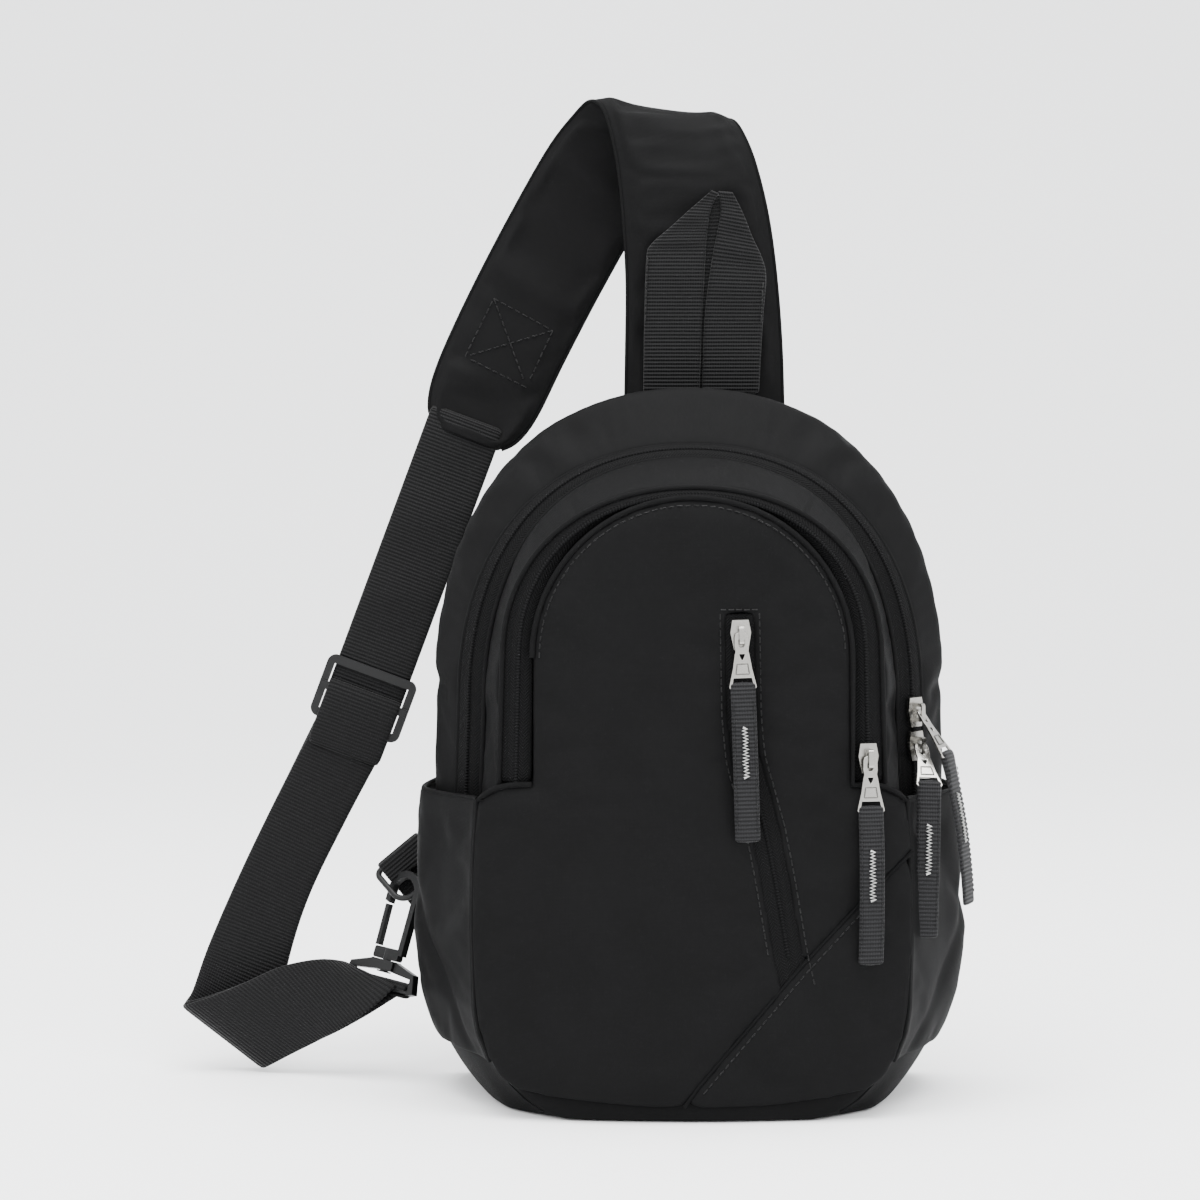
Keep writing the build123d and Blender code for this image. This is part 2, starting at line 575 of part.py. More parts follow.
with BuildPart() as hook_base:
    with BuildSketch(BAR_PLANE.offset(-FRAME_HALF)):
        Circle(BAR_R)
    extrude(amount=2 * FRAME_HALF)
    for end in (-1, 1):
        with BuildSketch(HOOK_PLANE.offset(-2.0)):
            with BuildLine():
                Polyline((end * (FRAME_HALF - 0.4), -2), (end * (FRAME_HALF + EAR), -1),
                         (end * (FRAME_HALF + EAR - 2), BARREL_LOW + 1), (end * 6, BARREL_HIGH),
                         (end * 4, BARREL_LOW), (end * (FRAME_HALF - 0.4), BARREL_LOW - 1.4),
                         (end * (FRAME_HALF - 0.4), -2))
            make_face()
        extrude(amount=4.0)
    with BuildSketch(HOOK_PLANE.offset(-3.4)):
        with Locations((0, (BARREL_LOW + BARREL_HIGH) / 2)):
            RectangleRounded(13.0, BARREL_HIGH - BARREL_LOW, 1.2)
    extrude(amount=6.8)
    with BuildSketch(Plane(origin=HOOK_FOOT, x_dir=BAR_ALONG, z_dir=HOOK_UP)):
        Circle(PIN_R + 0.06)
    extrude(amount=20, mode=Mode.SUBTRACT)
finish(hook_base, "hook_base")

HOOK_TURN = -10.0          # the hook is turned on its swivel against its base
HOOK_FACE = Plane(origin=HOOK_FOOT, x_dir=BAR_ALONG.rotate(Axis((0, 0, 0), HOOK_UP), HOOK_TURN),
                  z_dir=BAR_ALONG.cross(HOOK_UP).rotate(Axis((0, 0, 0), HOOK_UP), HOOK_TURN))
EYE_HALF = 7.2             # half the inside width of the hook
ARM = 3.2
HOOK_SEAT = 16.5           # where the arms begin above the webbing bar
HOOK_TOP = 48.5            # inside of the bight
HOOK_THICK = 3.2
NOSE_LOW = 12.4            # tip of the hook below the inside of the bight
GATE_GAP = 0.6

with BuildPart() as hook_body:
    with BuildSketch(Plane(origin=HOOK_FOOT + HOOK_UP * (BARREL_LOW - 0.9), z_dir=HOOK_UP)):
        Circle(PIN_HEAD_R)
    extrude(amount=0.6)
    with BuildSketch(Plane(origin=HOOK_FOOT + HOOK_UP * (BARREL_LOW - 0.4), z_dir=HOOK_UP)):
        Circle(PIN_R)
    extrude(amount=PIN_TOP - BARREL_LOW + 0.4)
    with BuildSketch(HOOK_FACE.offset(-HOOK_THICK / 2)):
        with Locations((0, (BARREL_HIGH + GAP + HOOK_SEAT) / 2)):
            RectangleRounded(2 * EYE_HALF + 2.4, HOOK_SEAT - BARREL_HIGH - GAP, 1.2)
        with Locations((EYE_HALF + ARM / 2, (HOOK_SEAT + HOOK_TOP) / 2 - 2)):
            Rectangle(ARM, HOOK_TOP - HOOK_SEAT + 1)
        with BuildLine():
            ThreePointArc((EYE_HALF, HOOK_TOP - 5), (0, HOOK_TOP), (-EYE_HALF, HOOK_TOP - 4))
            Line((-EYE_HALF, HOOK_TOP - 4), (-EYE_HALF, HOOK_TOP - NOSE_LOW))
            Line((-EYE_HALF, HOOK_TOP - NOSE_LOW), (-EYE_HALF - ARM, HOOK_TOP - NOSE_LOW + 1))
            Line((-EYE_HALF - ARM, HOOK_TOP - NOSE_LOW + 1), (-EYE_HALF - ARM, HOOK_TOP - 4.6))
            ThreePointArc((-EYE_HALF - ARM, HOOK_TOP - 4.6), (0, HOOK_TOP + ARM),
                          (EYE_HALF + ARM, HOOK_TOP - 5))
            Line((EYE_HALF + ARM, HOOK_TOP - 5), (EYE_HALF, HOOK_TOP - 5))
        make_face()
    extrude(amount=HOOK_THICK)
finish(hook_body, "hook_body")

GATE_PIVOT = Vector(-EYE_HALF + 0.4, HOOK_SEAT - 2.2, 0)
with BuildPart() as hook_gate:
    with BuildSketch(HOOK_FACE.offset(-1.3)):
        with BuildLine():
            Polyline((-EYE_HALF - 2.0, HOOK_SEAT + 0.4), (-EYE_HALF + 0.4, HOOK_SEAT + 0.4),
                     (-EYE_HALF - 0.2, HOOK_TOP - NOSE_LOW - GATE_GAP),
                     (-EYE_HALF - 2.4, HOOK_TOP - NOSE_LOW - GATE_GAP),
                     (-EYE_HALF - 2.0, HOOK_SEAT + 0.4))
        make_face()
    extrude(amount=2.6)
finish(hook_gate, "hook_gate")

# ---------------------------------------------------------------- zip sliders and their pulls
SLIDER_WIDE = 8.6
SLIDER_LONG = 12.5
PLATE = 1.8
PIN_UP = 4.2               # hinge of the puller above the foot of the slider
PULLER_LONG = 22.0
RIBBON_WIDE = 10.6
RIBBON_LONG = 66.0


def plane_on(point, down, out):
    """Plane at a point whose +Y runs up along the zip and whose +Z points outwards."""
    up = (Vector(*down) * -1).normalized()
    out = Vector(*out)
    out = (out - up * out.dot(up)).normalized()
    return Plane(origin=point, x_dir=up.cross(out), z_dir=out)


def make_slider(place, name):
    """Zip slider: a tapered plate with a bridge that holds the puller."""
    with BuildPart() as slider:
        with BuildSketch(place):
            with BuildLine():
                Polyline((-3.0, -SLIDER_LONG / 2), (3.0, -SLIDER_LONG / 2), (SLIDER_WIDE / 2, 1.0),
                         (3.4, SLIDER_LONG / 2), (-3.4, SLIDER_LONG / 2), (-SLIDER_WIDE / 2, 1.0),
                         (-3.0, -SLIDER_LONG / 2))
            make_face()
        extrude(amount=PLATE)
        with BuildSketch(Plane(origin=place.from_local_coords((-1.0, 0, 0)),
                               x_dir=place.y_dir, z_dir=place.x_dir)):
            with Locations((0, PLATE / 2 + 2.7)):
                RectangleRounded(7.8, PLATE + 3.8, 1.2)
            with Locations((0, PIN_UP + 0.1)):
                Rectangle(5.0, 2.6, mode=Mode.SUBTRACT)
        extrude(amount=2.0)
    finish(slider, name)
    return slider


def make_puller(place, name):
    """Cast puller: a bar under the bridge, a ring, a plate and a slot for the ribbon."""
    with BuildPart() as puller:
        with BuildSketch(place.offset(-0.7)):
            with BuildLine():
                Polyline((-3.4, 0.45), (3.4, 0.45), (4.1, -4), (5.0, -10), (6.4, -PULLER_LONG + 1),
                         (6.4, -PULLER_LONG), (-6.4, -PULLER_LONG), (-6.4, -PULLER_LONG + 1),
                         (-5.0, -10), (-4.1, -4), (-3.4, 0.45))
            make_face()
            with Locations((0, -3.5)):
                Rectangle(5.4, 6.4, mode=Mode.SUBTRACT)
            with Locations((0, -PULLER_LONG + 3.5)):
                Rectangle(RIBBON_WIDE + 0.6, 3.8, mode=Mode.SUBTRACT)
        extrude(amount=1.4)
    finish(puller, name)
    return puller


def make_ribbon(place, name):
    """Ribbon folded round the puller's lower bar; the plane sits on that bar."""
    loop_in, loop_out = 1.35, 2.35
    with BuildPart() as ribbon:
        with BuildSketch(Plane(origin=place.origin, x_dir=place.y_dir, z_dir=place.x_dir)):
            Circle(loop_out)
            with Locations((-RIBBON_LONG / 2 - 1.0, 0)):
                Rectangle(RIBBON_LONG - 2.0, 1.8)
            Circle(loop_in, mode=Mode.SUBTRACT)
        extrude(amount=RIBBON_WIDE / 2, both=True)
    finish(ribbon, name)
    return ribbon


def make_pull(name, slider_place, puller_down, ribbon_down, out):
    """Slider, puller and ribbon of one zip."""
    make_slider(slider_place, f"{name}_slider")
    pin = slider_place.from_local_coords((0, 0, PIN_UP))
    puller_place = plane_on(pin, puller_down, out)
    make_puller(puller_place, f"{name}_puller")
    bar = puller_place.from_local_coords((0, -PULLER_LONG + 0.8, 0))
    hinge = puller_place.x_dir
    up = Vector(*ribbon_down) * -1
    up = (up - hinge * up.dot(hinge)).normalized()
    ribbon_place = Plane(origin=bar, x_dir=hinge, z_dir=hinge.cross(up))
    make_ribbon(ribbon_place, f"{name}_pull")


FACE_OUT = (0, -math.cos(math.radians(LEAN)), math.sin(math.radians(LEAN)))

# chest pocket
pocket_at = face_point(19.8, 204.0, -0.35)
pocket_down = face_point(POCKET_BEND[0], POCKET_BEND[1]) - face_point(*POCKET_TOP)
make_pull("pocket", plane_on(pocket_at, pocket_down, (0.055, -1, 0.05)), pocket_down,
          (0.05, -0.052, -1), (0.055, -1, 0.05))

# front compartment
front_at = face_point(73.2, 152.0, -0.6)
front_down = face_point(73.7, SHOULDER_Z) - face_point(72.8, PANEL_SPRING_Z)
make_pull("front", plane_on(front_at, front_down, (0.2, -1, 0.05)), front_down,
          (-0.02, -0.06, -1), (0.1, -1, 0.05))

# main compartment, two sliders that meet
zip_mid = between(MAIN_ZIP_REAR, MAIN_ZIP_FRONT, 0.5)
MAIN_OUT = Vector(0.62, -0.785, 0)


def main_zip_point(z):
    """Point on the crown of the main zip's coil, on the right-hand side."""
    share = (z - BELLY_Z) / (SPRING_Z - BELLY_Z)
    x = zip_mid[1] + (zip_mid[2] - zip_mid[1]) * share
    return Vector(x, zip_mid[0], z) + MAIN_OUT * (COIL_HIGH + 0.7)


main_down = main_zip_point(BELLY_Z) - main_zip_point(SPRING_Z)
for which, height, puller_lean, ribbon_down, out in (
        ("main_upper", 168.0, (0.52, -0.24, -0.82), (0.13, -0.05, -1), (0.75, -0.43, 0.5)),
        ("main_lower", 153.5, (0.10, -0.72, -0.68), (0.0, -0.07, -1), (0.166, -0.669, 0.72))):
    make_pull(which, plane_on(main_zip_point(height), main_down, MAIN_OUT), puller_lean,
              ribbon_down, out)
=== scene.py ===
import math
import random

import bmesh
import bpy
from mathutils import Matrix, Vector
from mathutils.bvhtree import BVHTree
from mathutils.geometry import intersect_point_line
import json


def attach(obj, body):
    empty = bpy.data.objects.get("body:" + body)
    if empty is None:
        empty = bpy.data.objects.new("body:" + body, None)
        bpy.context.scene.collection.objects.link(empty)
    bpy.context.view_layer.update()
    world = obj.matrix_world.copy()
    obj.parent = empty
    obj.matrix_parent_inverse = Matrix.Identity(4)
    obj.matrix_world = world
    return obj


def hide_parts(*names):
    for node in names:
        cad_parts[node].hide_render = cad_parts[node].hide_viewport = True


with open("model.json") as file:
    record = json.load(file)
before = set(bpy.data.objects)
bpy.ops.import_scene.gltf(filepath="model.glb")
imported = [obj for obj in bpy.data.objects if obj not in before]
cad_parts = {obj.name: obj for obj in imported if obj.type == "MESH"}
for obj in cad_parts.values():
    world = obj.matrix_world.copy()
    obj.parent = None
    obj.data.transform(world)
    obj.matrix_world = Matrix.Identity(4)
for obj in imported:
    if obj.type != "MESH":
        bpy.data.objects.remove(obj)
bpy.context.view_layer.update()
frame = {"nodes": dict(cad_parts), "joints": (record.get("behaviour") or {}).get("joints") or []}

MM = 0.001
rng = random.Random(7)

# ---------------------------------------------------------------- camera, light and floor
camera_data = bpy.data.cameras.new("camera")
camera_data.lens = 105
camera_data.sensor_width = 36
camera = bpy.data.objects.new("camera", camera_data)
camera.location = (-0.0386, -1.5, 0.320)
camera.rotation_euler = (math.radians(86), 0, 0)
bpy.context.scene.collection.objects.link(camera)
bpy.context.scene.camera = camera


def area_light(name, place, aim, size, watts, colour=(1, 1, 1)):
    data = bpy.data.lights.new(name, "AREA")
    data.shape = "RECTANGLE"
    data.size, data.size_y = size
    data.energy = watts
    data.color = colour
    light = bpy.data.objects.new(name, data)
    light.location = place
    light.rotation_euler = (Vector(aim) - Vector(place)).to_track_quat("-Z", "Y").to_euler()
    bpy.context.scene.collection.objects.link(light)


area_light("top_light", (0.0, -0.25, 1.6), (0, 0, 0.15), (1.6, 1.2), 70)
area_light("left_light", (-1.5, -1.1, 0.9), (0, 0, 0.18), (1.0, 1.4), 14)
area_light("right_light", (1.5, -0.9, 0.8), (0, 0, 0.18), (1.0, 1.4), 12)
area_light("front_light", (0.1, -2.3, 1.0), (0, 0, 0.2), (1.4, 0.8), 18)

world = bpy.data.worlds.new("world")
world.use_nodes = True
world.node_tree.nodes["Background"].inputs["Color"].default_value = (0.93, 0.935, 0.94, 1)
world.node_tree.nodes["Background"].inputs["Strength"].default_value = 2.4
bpy.context.scene.world = world


# ---------------------------------------------------------------- materials
def material(name, colour, roughness, sheen=0.0, metallic=0.0, specular=0.5):
    """Principled material with its node tree, ready for a bump chain."""
    mat = bpy.data.materials.new(name)
    mat.use_nodes = True
    shader = mat.node_tree.nodes["Principled BSDF"]
    shader.inputs["Base Color"].default_value = (*colour, 1)
    shader.inputs["Roughness"].default_value = roughness
    shader.inputs["Metallic"].default_value = metallic
    shader.inputs["Specular IOR Level"].default_value = specular
    shader.inputs["Sheen Weight"].default_value = sheen
    shader.inputs["Sheen Roughness"].default_value = 0.45
    return mat, mat.node_tree, shader


def node(tree, kind, **values):
    made = tree.nodes.new(kind)
    for key, value in values.items():
        if key in made.inputs:
            made.inputs[key].default_value = value
        else:
            setattr(made, key, value)
    return made


def vary_colour(tree, shader, source, low, high):
    """Base colour that runs from low to high with a 0 to 1 value."""
    ramp = node(tree, "ShaderNodeValToRGB")
    ramp.color_ramp.elements[0].color = (*low, 1)
    ramp.color_ramp.elements[1].color = (*high, 1)
    tree.links.new(source, ramp.inputs["Fac"])
    tree.links.new(ramp.outputs["Color"], shader.inputs["Base Color"])
    return ramp


def bumps(tree, shader, *layers):
    """Chains (height socket, distance in metres, strength) into the shader's normal."""
    last = None
    for height, distance, strength in layers:
        bump = node(tree, "ShaderNodeBump", Distance=distance, Strength=strength)
        tree.links.new(height, bump.inputs["Height"])
        if last:
            tree.links.new(last.outputs["Normal"], bump.inputs["Normal"])
        last = bump
    tree.links.new(last.outputs["Normal"], shader.inputs["Normal"])


def uv_wave(tree, direction, pitch, profile="SIN"):
    """Wave along U or V whose pitch is in metres, from UV maps that are in metres."""
    uv = node(tree, "ShaderNodeTexCoord")
    wave = node(tree, "ShaderNodeTexWave", wave_type="BANDS", bands_direction=direction,
                wave_profile=profile, Scale=0.314 / pitch, Distortion=0.0)
    tree.links.new(uv.outputs["UV"], wave.inputs["Vector"])
    return wave.outputs["Fac"]


def weave(tree, pitch):
    """Plain weave: two crossing sets of threads."""
    mix = node(tree, "ShaderNodeMath", operation="MULTIPLY")
    tree.links.new(uv_wave(tree, "X", pitch), mix.inputs[0])
    tree.links.new(uv_wave(tree, "Y", pitch), mix.inputs[1])
    return mix.outputs["Value"]


def object_noise(tree, scale, detail=3.0, stretch=(1, 1, 1)):
    place = node(tree, "ShaderNodeTexCoord")
    spread = node(tree, "ShaderNodeMapping", Scale=stretch)
    noise = node(tree, "ShaderNodeTexNoise", Scale=scale, Detail=detail)
    tree.links.new(place.outputs["Object"], spread.inputs["Vector"])
    tree.links.new(spread.outputs["Vector"], noise.inputs["Vector"])
    return noise.outputs["Fac"]


def fabric(name, low, high, pitch, roughness, sheen, soft=0.0016):
    mat, tree, shader = material(name, low, roughness, sheen, 0.0, 0.035)
    threads = weave(tree, pitch)
    cloudy = object_noise(tree, 38.0, 4.0)
    vary_colour(tree, shader, cloudy, low, high)
    bumps(tree, shader, (object_noise(tree, 24.0, 2.0), soft, 0.55),
          (object_noise(tree, 210.0, 2.0), 0.00025, 0.5), (threads, 0.00012, 0.6))
    return mat


def ribbed(name, low, high, rib_pitch, roughness, sheen):
    """Woven tape with ribs across its width and fine warp ends along it."""
    mat, tree, shader = material(name, low, roughness, sheen, 0.0, 0.075)
    ribs = uv_wave(tree, "Y", rib_pitch)
    ends = uv_wave(tree, "X", 0.0011)
    vary_colour(tree, shader, ribs, low, high)
    bumps(tree, shader, (ribs, 0.0005, 0.8), (ends, 0.0002, 0.5),
          (object_noise(tree, 60.0, 2.0), 0.0006, 0.3))
    return mat


def herringbone(name, low, high):
    """Zip tape: slanted twill bands that change direction across the tape."""
    mat, tree, shader = material(name, low, 0.66, 0.0, 0.0, 0.06)
    uv = node(tree, "ShaderNodeTexCoord")
    split = node(tree, "ShaderNodeSeparateXYZ")
    tree.links.new(uv.outputs["UV"], split.inputs["Vector"])
    fold = node(tree, "ShaderNodeMath", operation="PINGPONG")
    tree.links.new(split.outputs["X"], fold.inputs[0])
    fold.inputs[1].default_value = 0.0022
    slant = node(tree, "ShaderNodeMath", operation="ADD")
    tree.links.new(fold.outputs["Value"], slant.inputs[0])
    tree.links.new(split.outputs["Y"], slant.inputs[1])
    lines = node(tree, "ShaderNodeMath", operation="MULTIPLY")
    tree.links.new(slant.outputs["Value"], lines.inputs[0])
    lines.inputs[1].default_value = 2 * math.pi / 0.0014
    sine = node(tree, "ShaderNodeMath", operation="SINE")
    tree.links.new(lines.outputs["Value"], sine.inputs[0])
    shade = node(tree, "ShaderNodeMapRange")
    shade.inputs["From Min"].default_value = -1.0
    tree.links.new(sine.outputs["Value"], shade.inputs["Value"])
    vary_colour(tree, shader, shade.outputs["Result"], low, high)
    bumps(tree, shader, (shade.outputs["Result"], 0.0003, 0.7))
    return mat


def coil_material(name):
    mat, tree, shader = material(name, (0.012, 0.012, 0.013), 0.66, 0.0, 0.0, 0.06)
    turns = uv_wave(tree, "Y", 0.0013)
    vary_colour(tree, shader, turns, (0.0012, 0.0012, 0.0013), (0.0035, 0.0035, 0.0038))
    bumps(tree, shader, (turns, 0.0006, 0.9))
    return mat


def metal_material(name, colour):
    mat, tree, shader = material(name, colour, 0.24, 0.0, 1.0)
    fine = object_noise(tree, 900.0, 3.0)
    wear = node(tree, "ShaderNodeMapRange")
    wear.inputs["To Min"].default_value = 0.17
    wear.inputs["To Max"].default_value = 0.34
    tree.links.new(object_noise(tree, 160.0, 4.0), wear.inputs["Value"])
    tree.links.new(wear.outputs["Result"], shader.inputs["Roughness"])
    bumps(tree, shader, (fine, 0.00005, 0.35))
    return mat


def plastic_material(name):
    mat, tree, shader = material(name, (0.0025, 0.0026, 0.0028), 0.40, 0.0, 0.0, 0.2)
    wear = node(tree, "ShaderNodeMapRange")
    wear.inputs["To Min"].default_value = 0.34
    wear.inputs["To Max"].default_value = 0.52
    tree.links.new(object_noise(tree, 120.0, 4.0), wear.inputs["Value"])
    tree.links.new(wear.outputs["Result"], shader.inputs["Roughness"])
    bumps(tree, shader, (object_noise(tree, 1400.0, 2.0), 0.00006, 0.5))
    return mat


SHELL = fabric("shell_nylon", (0.0032, 0.0032, 0.0033), (0.0044, 0.0044, 0.0046), 0.00055, 0.62, 0.0)
LINING = fabric("lining_cloth", (0.05, 0.05, 0.055), (0.07, 0.07, 0.075), 0.0004, 0.55, 0.2)
MESH_BACK = fabric("back_cloth", (0.005, 0.005, 0.0053), (0.009, 0.009, 0.0095), 0.0022, 0.75, 0.08)
BINDING = ribbed("binding_tape", (0.003, 0.003, 0.0033), (0.007, 0.007, 0.0075), 0.0016, 0.62, 0.05)
WEBBING = ribbed("strap_webbing_cloth", (0.0012, 0.0012, 0.0013), (0.0055, 0.0055, 0.0058), 0.0016, 0.6, 0.05)
RIBBON = ribbed("pull_ribbon_cloth", (0.003, 0.003, 0.0033), (0.013, 0.013, 0.014), 0.0017, 0.55, 0.06)
TAPE = herringbone("zip_tape_cloth", (0.0006, 0.0006, 0.0007), (0.0028, 0.0028, 0.003))
COIL = coil_material("zip_coil_nylon")
METAL = metal_material("zip_metal", (0.30, 0.293, 0.275))
# darker copy of the zip metal: painted shade for the recess round the window on each puller's plate
METAL_PAINTED_SHADE = metal_material("zip_metal_painted_recess_shade", (0.09, 0.088, 0.083))
PLASTIC = plastic_material("moulded_plastic")
THREAD = ribbed("black_thread", (0.002, 0.002, 0.0021), (0.005, 0.005, 0.0053), 0.0004, 0.5, 0.08)
WHITE_THREAD = ribbed("white_thread", (0.75, 0.75, 0.73), (0.88, 0.88, 0.86), 0.0004, 0.55, 0.1)


def floor_material():
    mat, tree, shader = material("studio_paper", (0.87, 0.875, 0.88), 0.85, 0.0, 0.0, 0.2)
    vary_colour(tree, shader, object_noise(tree, 3.0, 2.0), (0.925, 0.93, 0.935), (0.945, 0.95, 0.955))
    bumps(tree, shader, (object_noise(tree, 600.0, 2.0), 0.0001, 0.2))
    return mat


def make_floor():
    """Pale sweep of paper that curves up behind the bag."""
    profile = [(-6.0, 0.0), (1.2, 0.0)]
    for i in range(1, 13):
        turn = math.radians(90 * i / 12)
        profile.append((1.2 + 1.5 * math.sin(turn), 1.5 - 1.5 * math.cos(turn)))
    profile.append((2.7, 6.0))
    mesh = bmesh.new()
    rows = [[mesh.verts.new((x, y, z)) for x in (-6.0, 6.0)] for y, z in profile]
    for low, high in zip(rows, rows[1:]):
        mesh.faces.new((low[0], low[1], high[1], high[0]))
    data = bpy.data.meshes.new("floor")
    mesh.to_mesh(data)
    floor = bpy.data.objects.new("floor", data)
    bpy.context.scene.collection.objects.link(floor)
    data.materials.append(floor_material())
    for face in data.polygons:
        face.use_smooth = True


make_floor()


# ---------------------------------------------------------------- making pieces
def new_object(name, data, mat, body, slot, *stands_for):
    piece = bpy.data.objects.new(name, data)
    bpy.context.scene.collection.objects.link(piece)
    data.materials.append(mat)
    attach(piece, body)
    if stands_for:
        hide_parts(*stands_for)
    return piece


def set_uv(data, coordinates):
    layer = data.uv_layers.new(name="metres")
    for loop in data.loops:
        layer.data[loop.index].uv = coordinates[loop.vertex_index]


def soften(piece, levels=1, thick=0.0, offset=-1.0, width=0.0):
    """Smooth shading with optional thickness, rounded edges and subdivision."""
    for face in piece.data.polygons:
        face.use_smooth = True
    if thick:
        shell = piece.modifiers.new("thickness", "SOLIDIFY")
        shell.thickness = thick * MM
        shell.offset = offset
        shell.use_rim = True
    if width:
        round_edge = piece.modifiers.new("edges", "BEVEL")
        round_edge.width = width * MM
        round_edge.segments = 2
        round_edge.limit_method = "ANGLE"
        round_edge.angle_limit = math.radians(50)
    if levels:
        smooth = piece.modifiers.new("smooth", "SUBSURF")
        smooth.levels = levels
        smooth.render_levels = levels


def sheet_mesh(name, rows, closed=False):
    """Grid mesh in metres from rows of points in millimetres, with UVs in metres."""
    points, coordinates = [], []
    wide = len(rows[0])
    along = 0.0
    for i, row in enumerate(rows):
        if i:
            middle = wide // 2
            along += (Vector(row[middle]) - Vector(rows[i - 1][middle])).length
        across = 0.0
        for j, point in enumerate(row):
            if j:
                across += (Vector(point) - Vector(row[j - 1])).length
            points.append(Vector(point) * MM)
            coordinates.append((across * MM, along * MM))
    faces = []
    for i in range(len(rows) - 1):
        for j in range(wide if closed else wide - 1):
            k = (j + 1) % wide
            faces.append((i * wide + j, i * wide + k, (i + 1) * wide + k, (i + 1) * wide + j))
    if closed:
        faces.append(tuple(range(wide))[::-1])
        faces.append(tuple((len(rows) - 1) * wide + j for j in range(wide)))
    data = bpy.data.meshes.new(name)
    data.from_pydata(points, [], faces)
    set_uv(data, coordinates)
    return data


def tube(name, points, radius, mat, body, slot, stands_for=(), closed=False):
    """Round cord along a path in millimetres, as a curve."""
    data = bpy.data.curves.new(name, "CURVE")
    data.dimensions = "3D"
    data.bevel_depth = radius * MM
    data.bevel_resolution = 3
    spline = data.splines.new("POLY")
    spline.points.add(len(points) - 1)
    for place, point in zip(spline.points, points):
        place.co = (*(Vector(point) * MM), 1)
    spline.use_cyclic_u = closed
    spline.use_smooth = True
    return new_object(name, data, mat, body, slot, *stands_for)


def seam(name, points, radius):
    """Rolled seam of shell cloth on the bag."""
    return tube(name, points, radius, SHELL, "bag", "shell_fabric")


def resample(points, step):
    """Points at even spacing along a path."""
    points = [Vector(p) for p in points]
    out = [points[0]]
    left = step
    for a, b in zip(points, points[1:]):
        length = (b - a).length
        while length > 0 and left <= length:
            out.append(a + (b - a) * (left / length))
            left += step
        left -= length
    return out


def stitches(name, points, outward, body, mat=THREAD, slot="shell_fabric", length=2.6, pitch=3.6,
             radius=0.28):
    """Row of thread stitches: short rounded beads that dive into the cloth at each end."""
    places = resample(points, pitch)
    mesh = bmesh.new()
    for a, b in zip(places, places[1:]):
        out = outward(a) if callable(outward) else Vector(outward)
        out = out.normalized()
        along = (b - a).normalized()
        side = along.cross(out).normalized()
        rings = []
        for share, lift, size in ((0.0, -0.5, 0.5), (0.15, 0.15, 1.0), (0.5, 0.3, 1.0), (0.85, 0.15, 1.0),
                                  (1.0, -0.5, 0.5)):
            centre = a + along * length * share + out * lift * radius * 1.6
            rings.append([mesh.verts.new((centre + (side * math.cos(t) + out * math.sin(t)) * radius
                                          * size) * MM) for t in
                          (k * math.pi / 3 for k in range(6))])
        for low, high in zip(rings, rings[1:]):
            for j in range(6):
                mesh.faces.new((low[j], low[(j + 1) % 6], high[(j + 1) % 6], high[j]))
    data = bpy.data.meshes.new(name)
    mesh.to_mesh(data)
    mesh.free()
    set_uv(data, [(v.co.x, v.co.z) for v in data.vertices])
    for face in data.polygons:
        face.use_smooth = True
    return new_object(name, data, mat, body, slot)


CLOTH = dict(quality=5, mass=0.15, tension_stiffness=25, compression_stiffness=25, shear_stiffness=8,
             bending_stiffness=0.35, vertex_group_mass="held")


def cloth_puff(piece, held, pressure=3.0, shrink=-0.03, cap=4.0, frames=18):
    """Lets the cloth of a piece fill and crease between its held points, then keeps the result.
    No point moves further than cap millimetres."""
    group = piece.vertex_groups.new(name="held")
    group.add(held, 1.0, "REPLACE")
    start = [v.co.copy() for v in piece.data.vertices]
    cloth = piece.modifiers.new("cloth", "CLOTH")
    for key, value in dict(CLOTH, use_pressure=pressure > 0, uniform_pressure_force=pressure,
                           shrink_min=shrink, shrink_max=shrink).items():
        setattr(cloth.settings, key, value)
    cloth.settings.effector_weights.gravity = 0
    cloth.collision_settings.use_collision = False
    scene = bpy.context.scene
    cloth.point_cache.frame_start = 1
    cloth.point_cache.frame_end = frames
    for number in range(1, frames + 1):
        scene.frame_set(number)
    shaped = piece.evaluated_get(bpy.context.evaluated_depsgraph_get())
    moved = [v.co.copy() for v in shaped.data.vertices]
    piece.modifiers.remove(cloth)
    scene.frame_set(1)
    for vertex, first, last in zip(piece.data.vertices, start, moved):
        step = last - first
        if step.length > cap * MM:
            step = step.normalized() * cap * MM
        vertex.co = first + step
    piece.data.update()


# ---------------------------------------------------------------- shape of the bag, in millimetres
BASE_SEAM_Z = 26.0
BELLY_Z = 60.0
SPRING_Z = 172.0
CROWN = 0.63
BACK = (46.0, 104.0, 101.0, 299.0, 89.0)
BELLY = (14.0, 107.0, 108.5, 304.0, 93.0)
ZIP_REAR = (-5.0, 103.0, 99.5, 282.0, 91.0)
ZIP_FRONT = (-14.0, 92.0, 88.5, 277.0, 89.0)
FRONT = (-52.0, 84.0, 77.0, 262.0, 78.0)
FACE_Y = -56.0
FACE_RADIUS = 358.0
LEAN_Z = 80.0
LEAN = math.tan(math.radians(3.0))


def bezier(a, b, c, d, t):
    s = 1 - t
    return tuple(s ** 3 * p + 3 * s * s * t * q + 3 * s * t * t * u + t ** 3 * v
                 for p, q, u, v in zip(a, b, c, d))


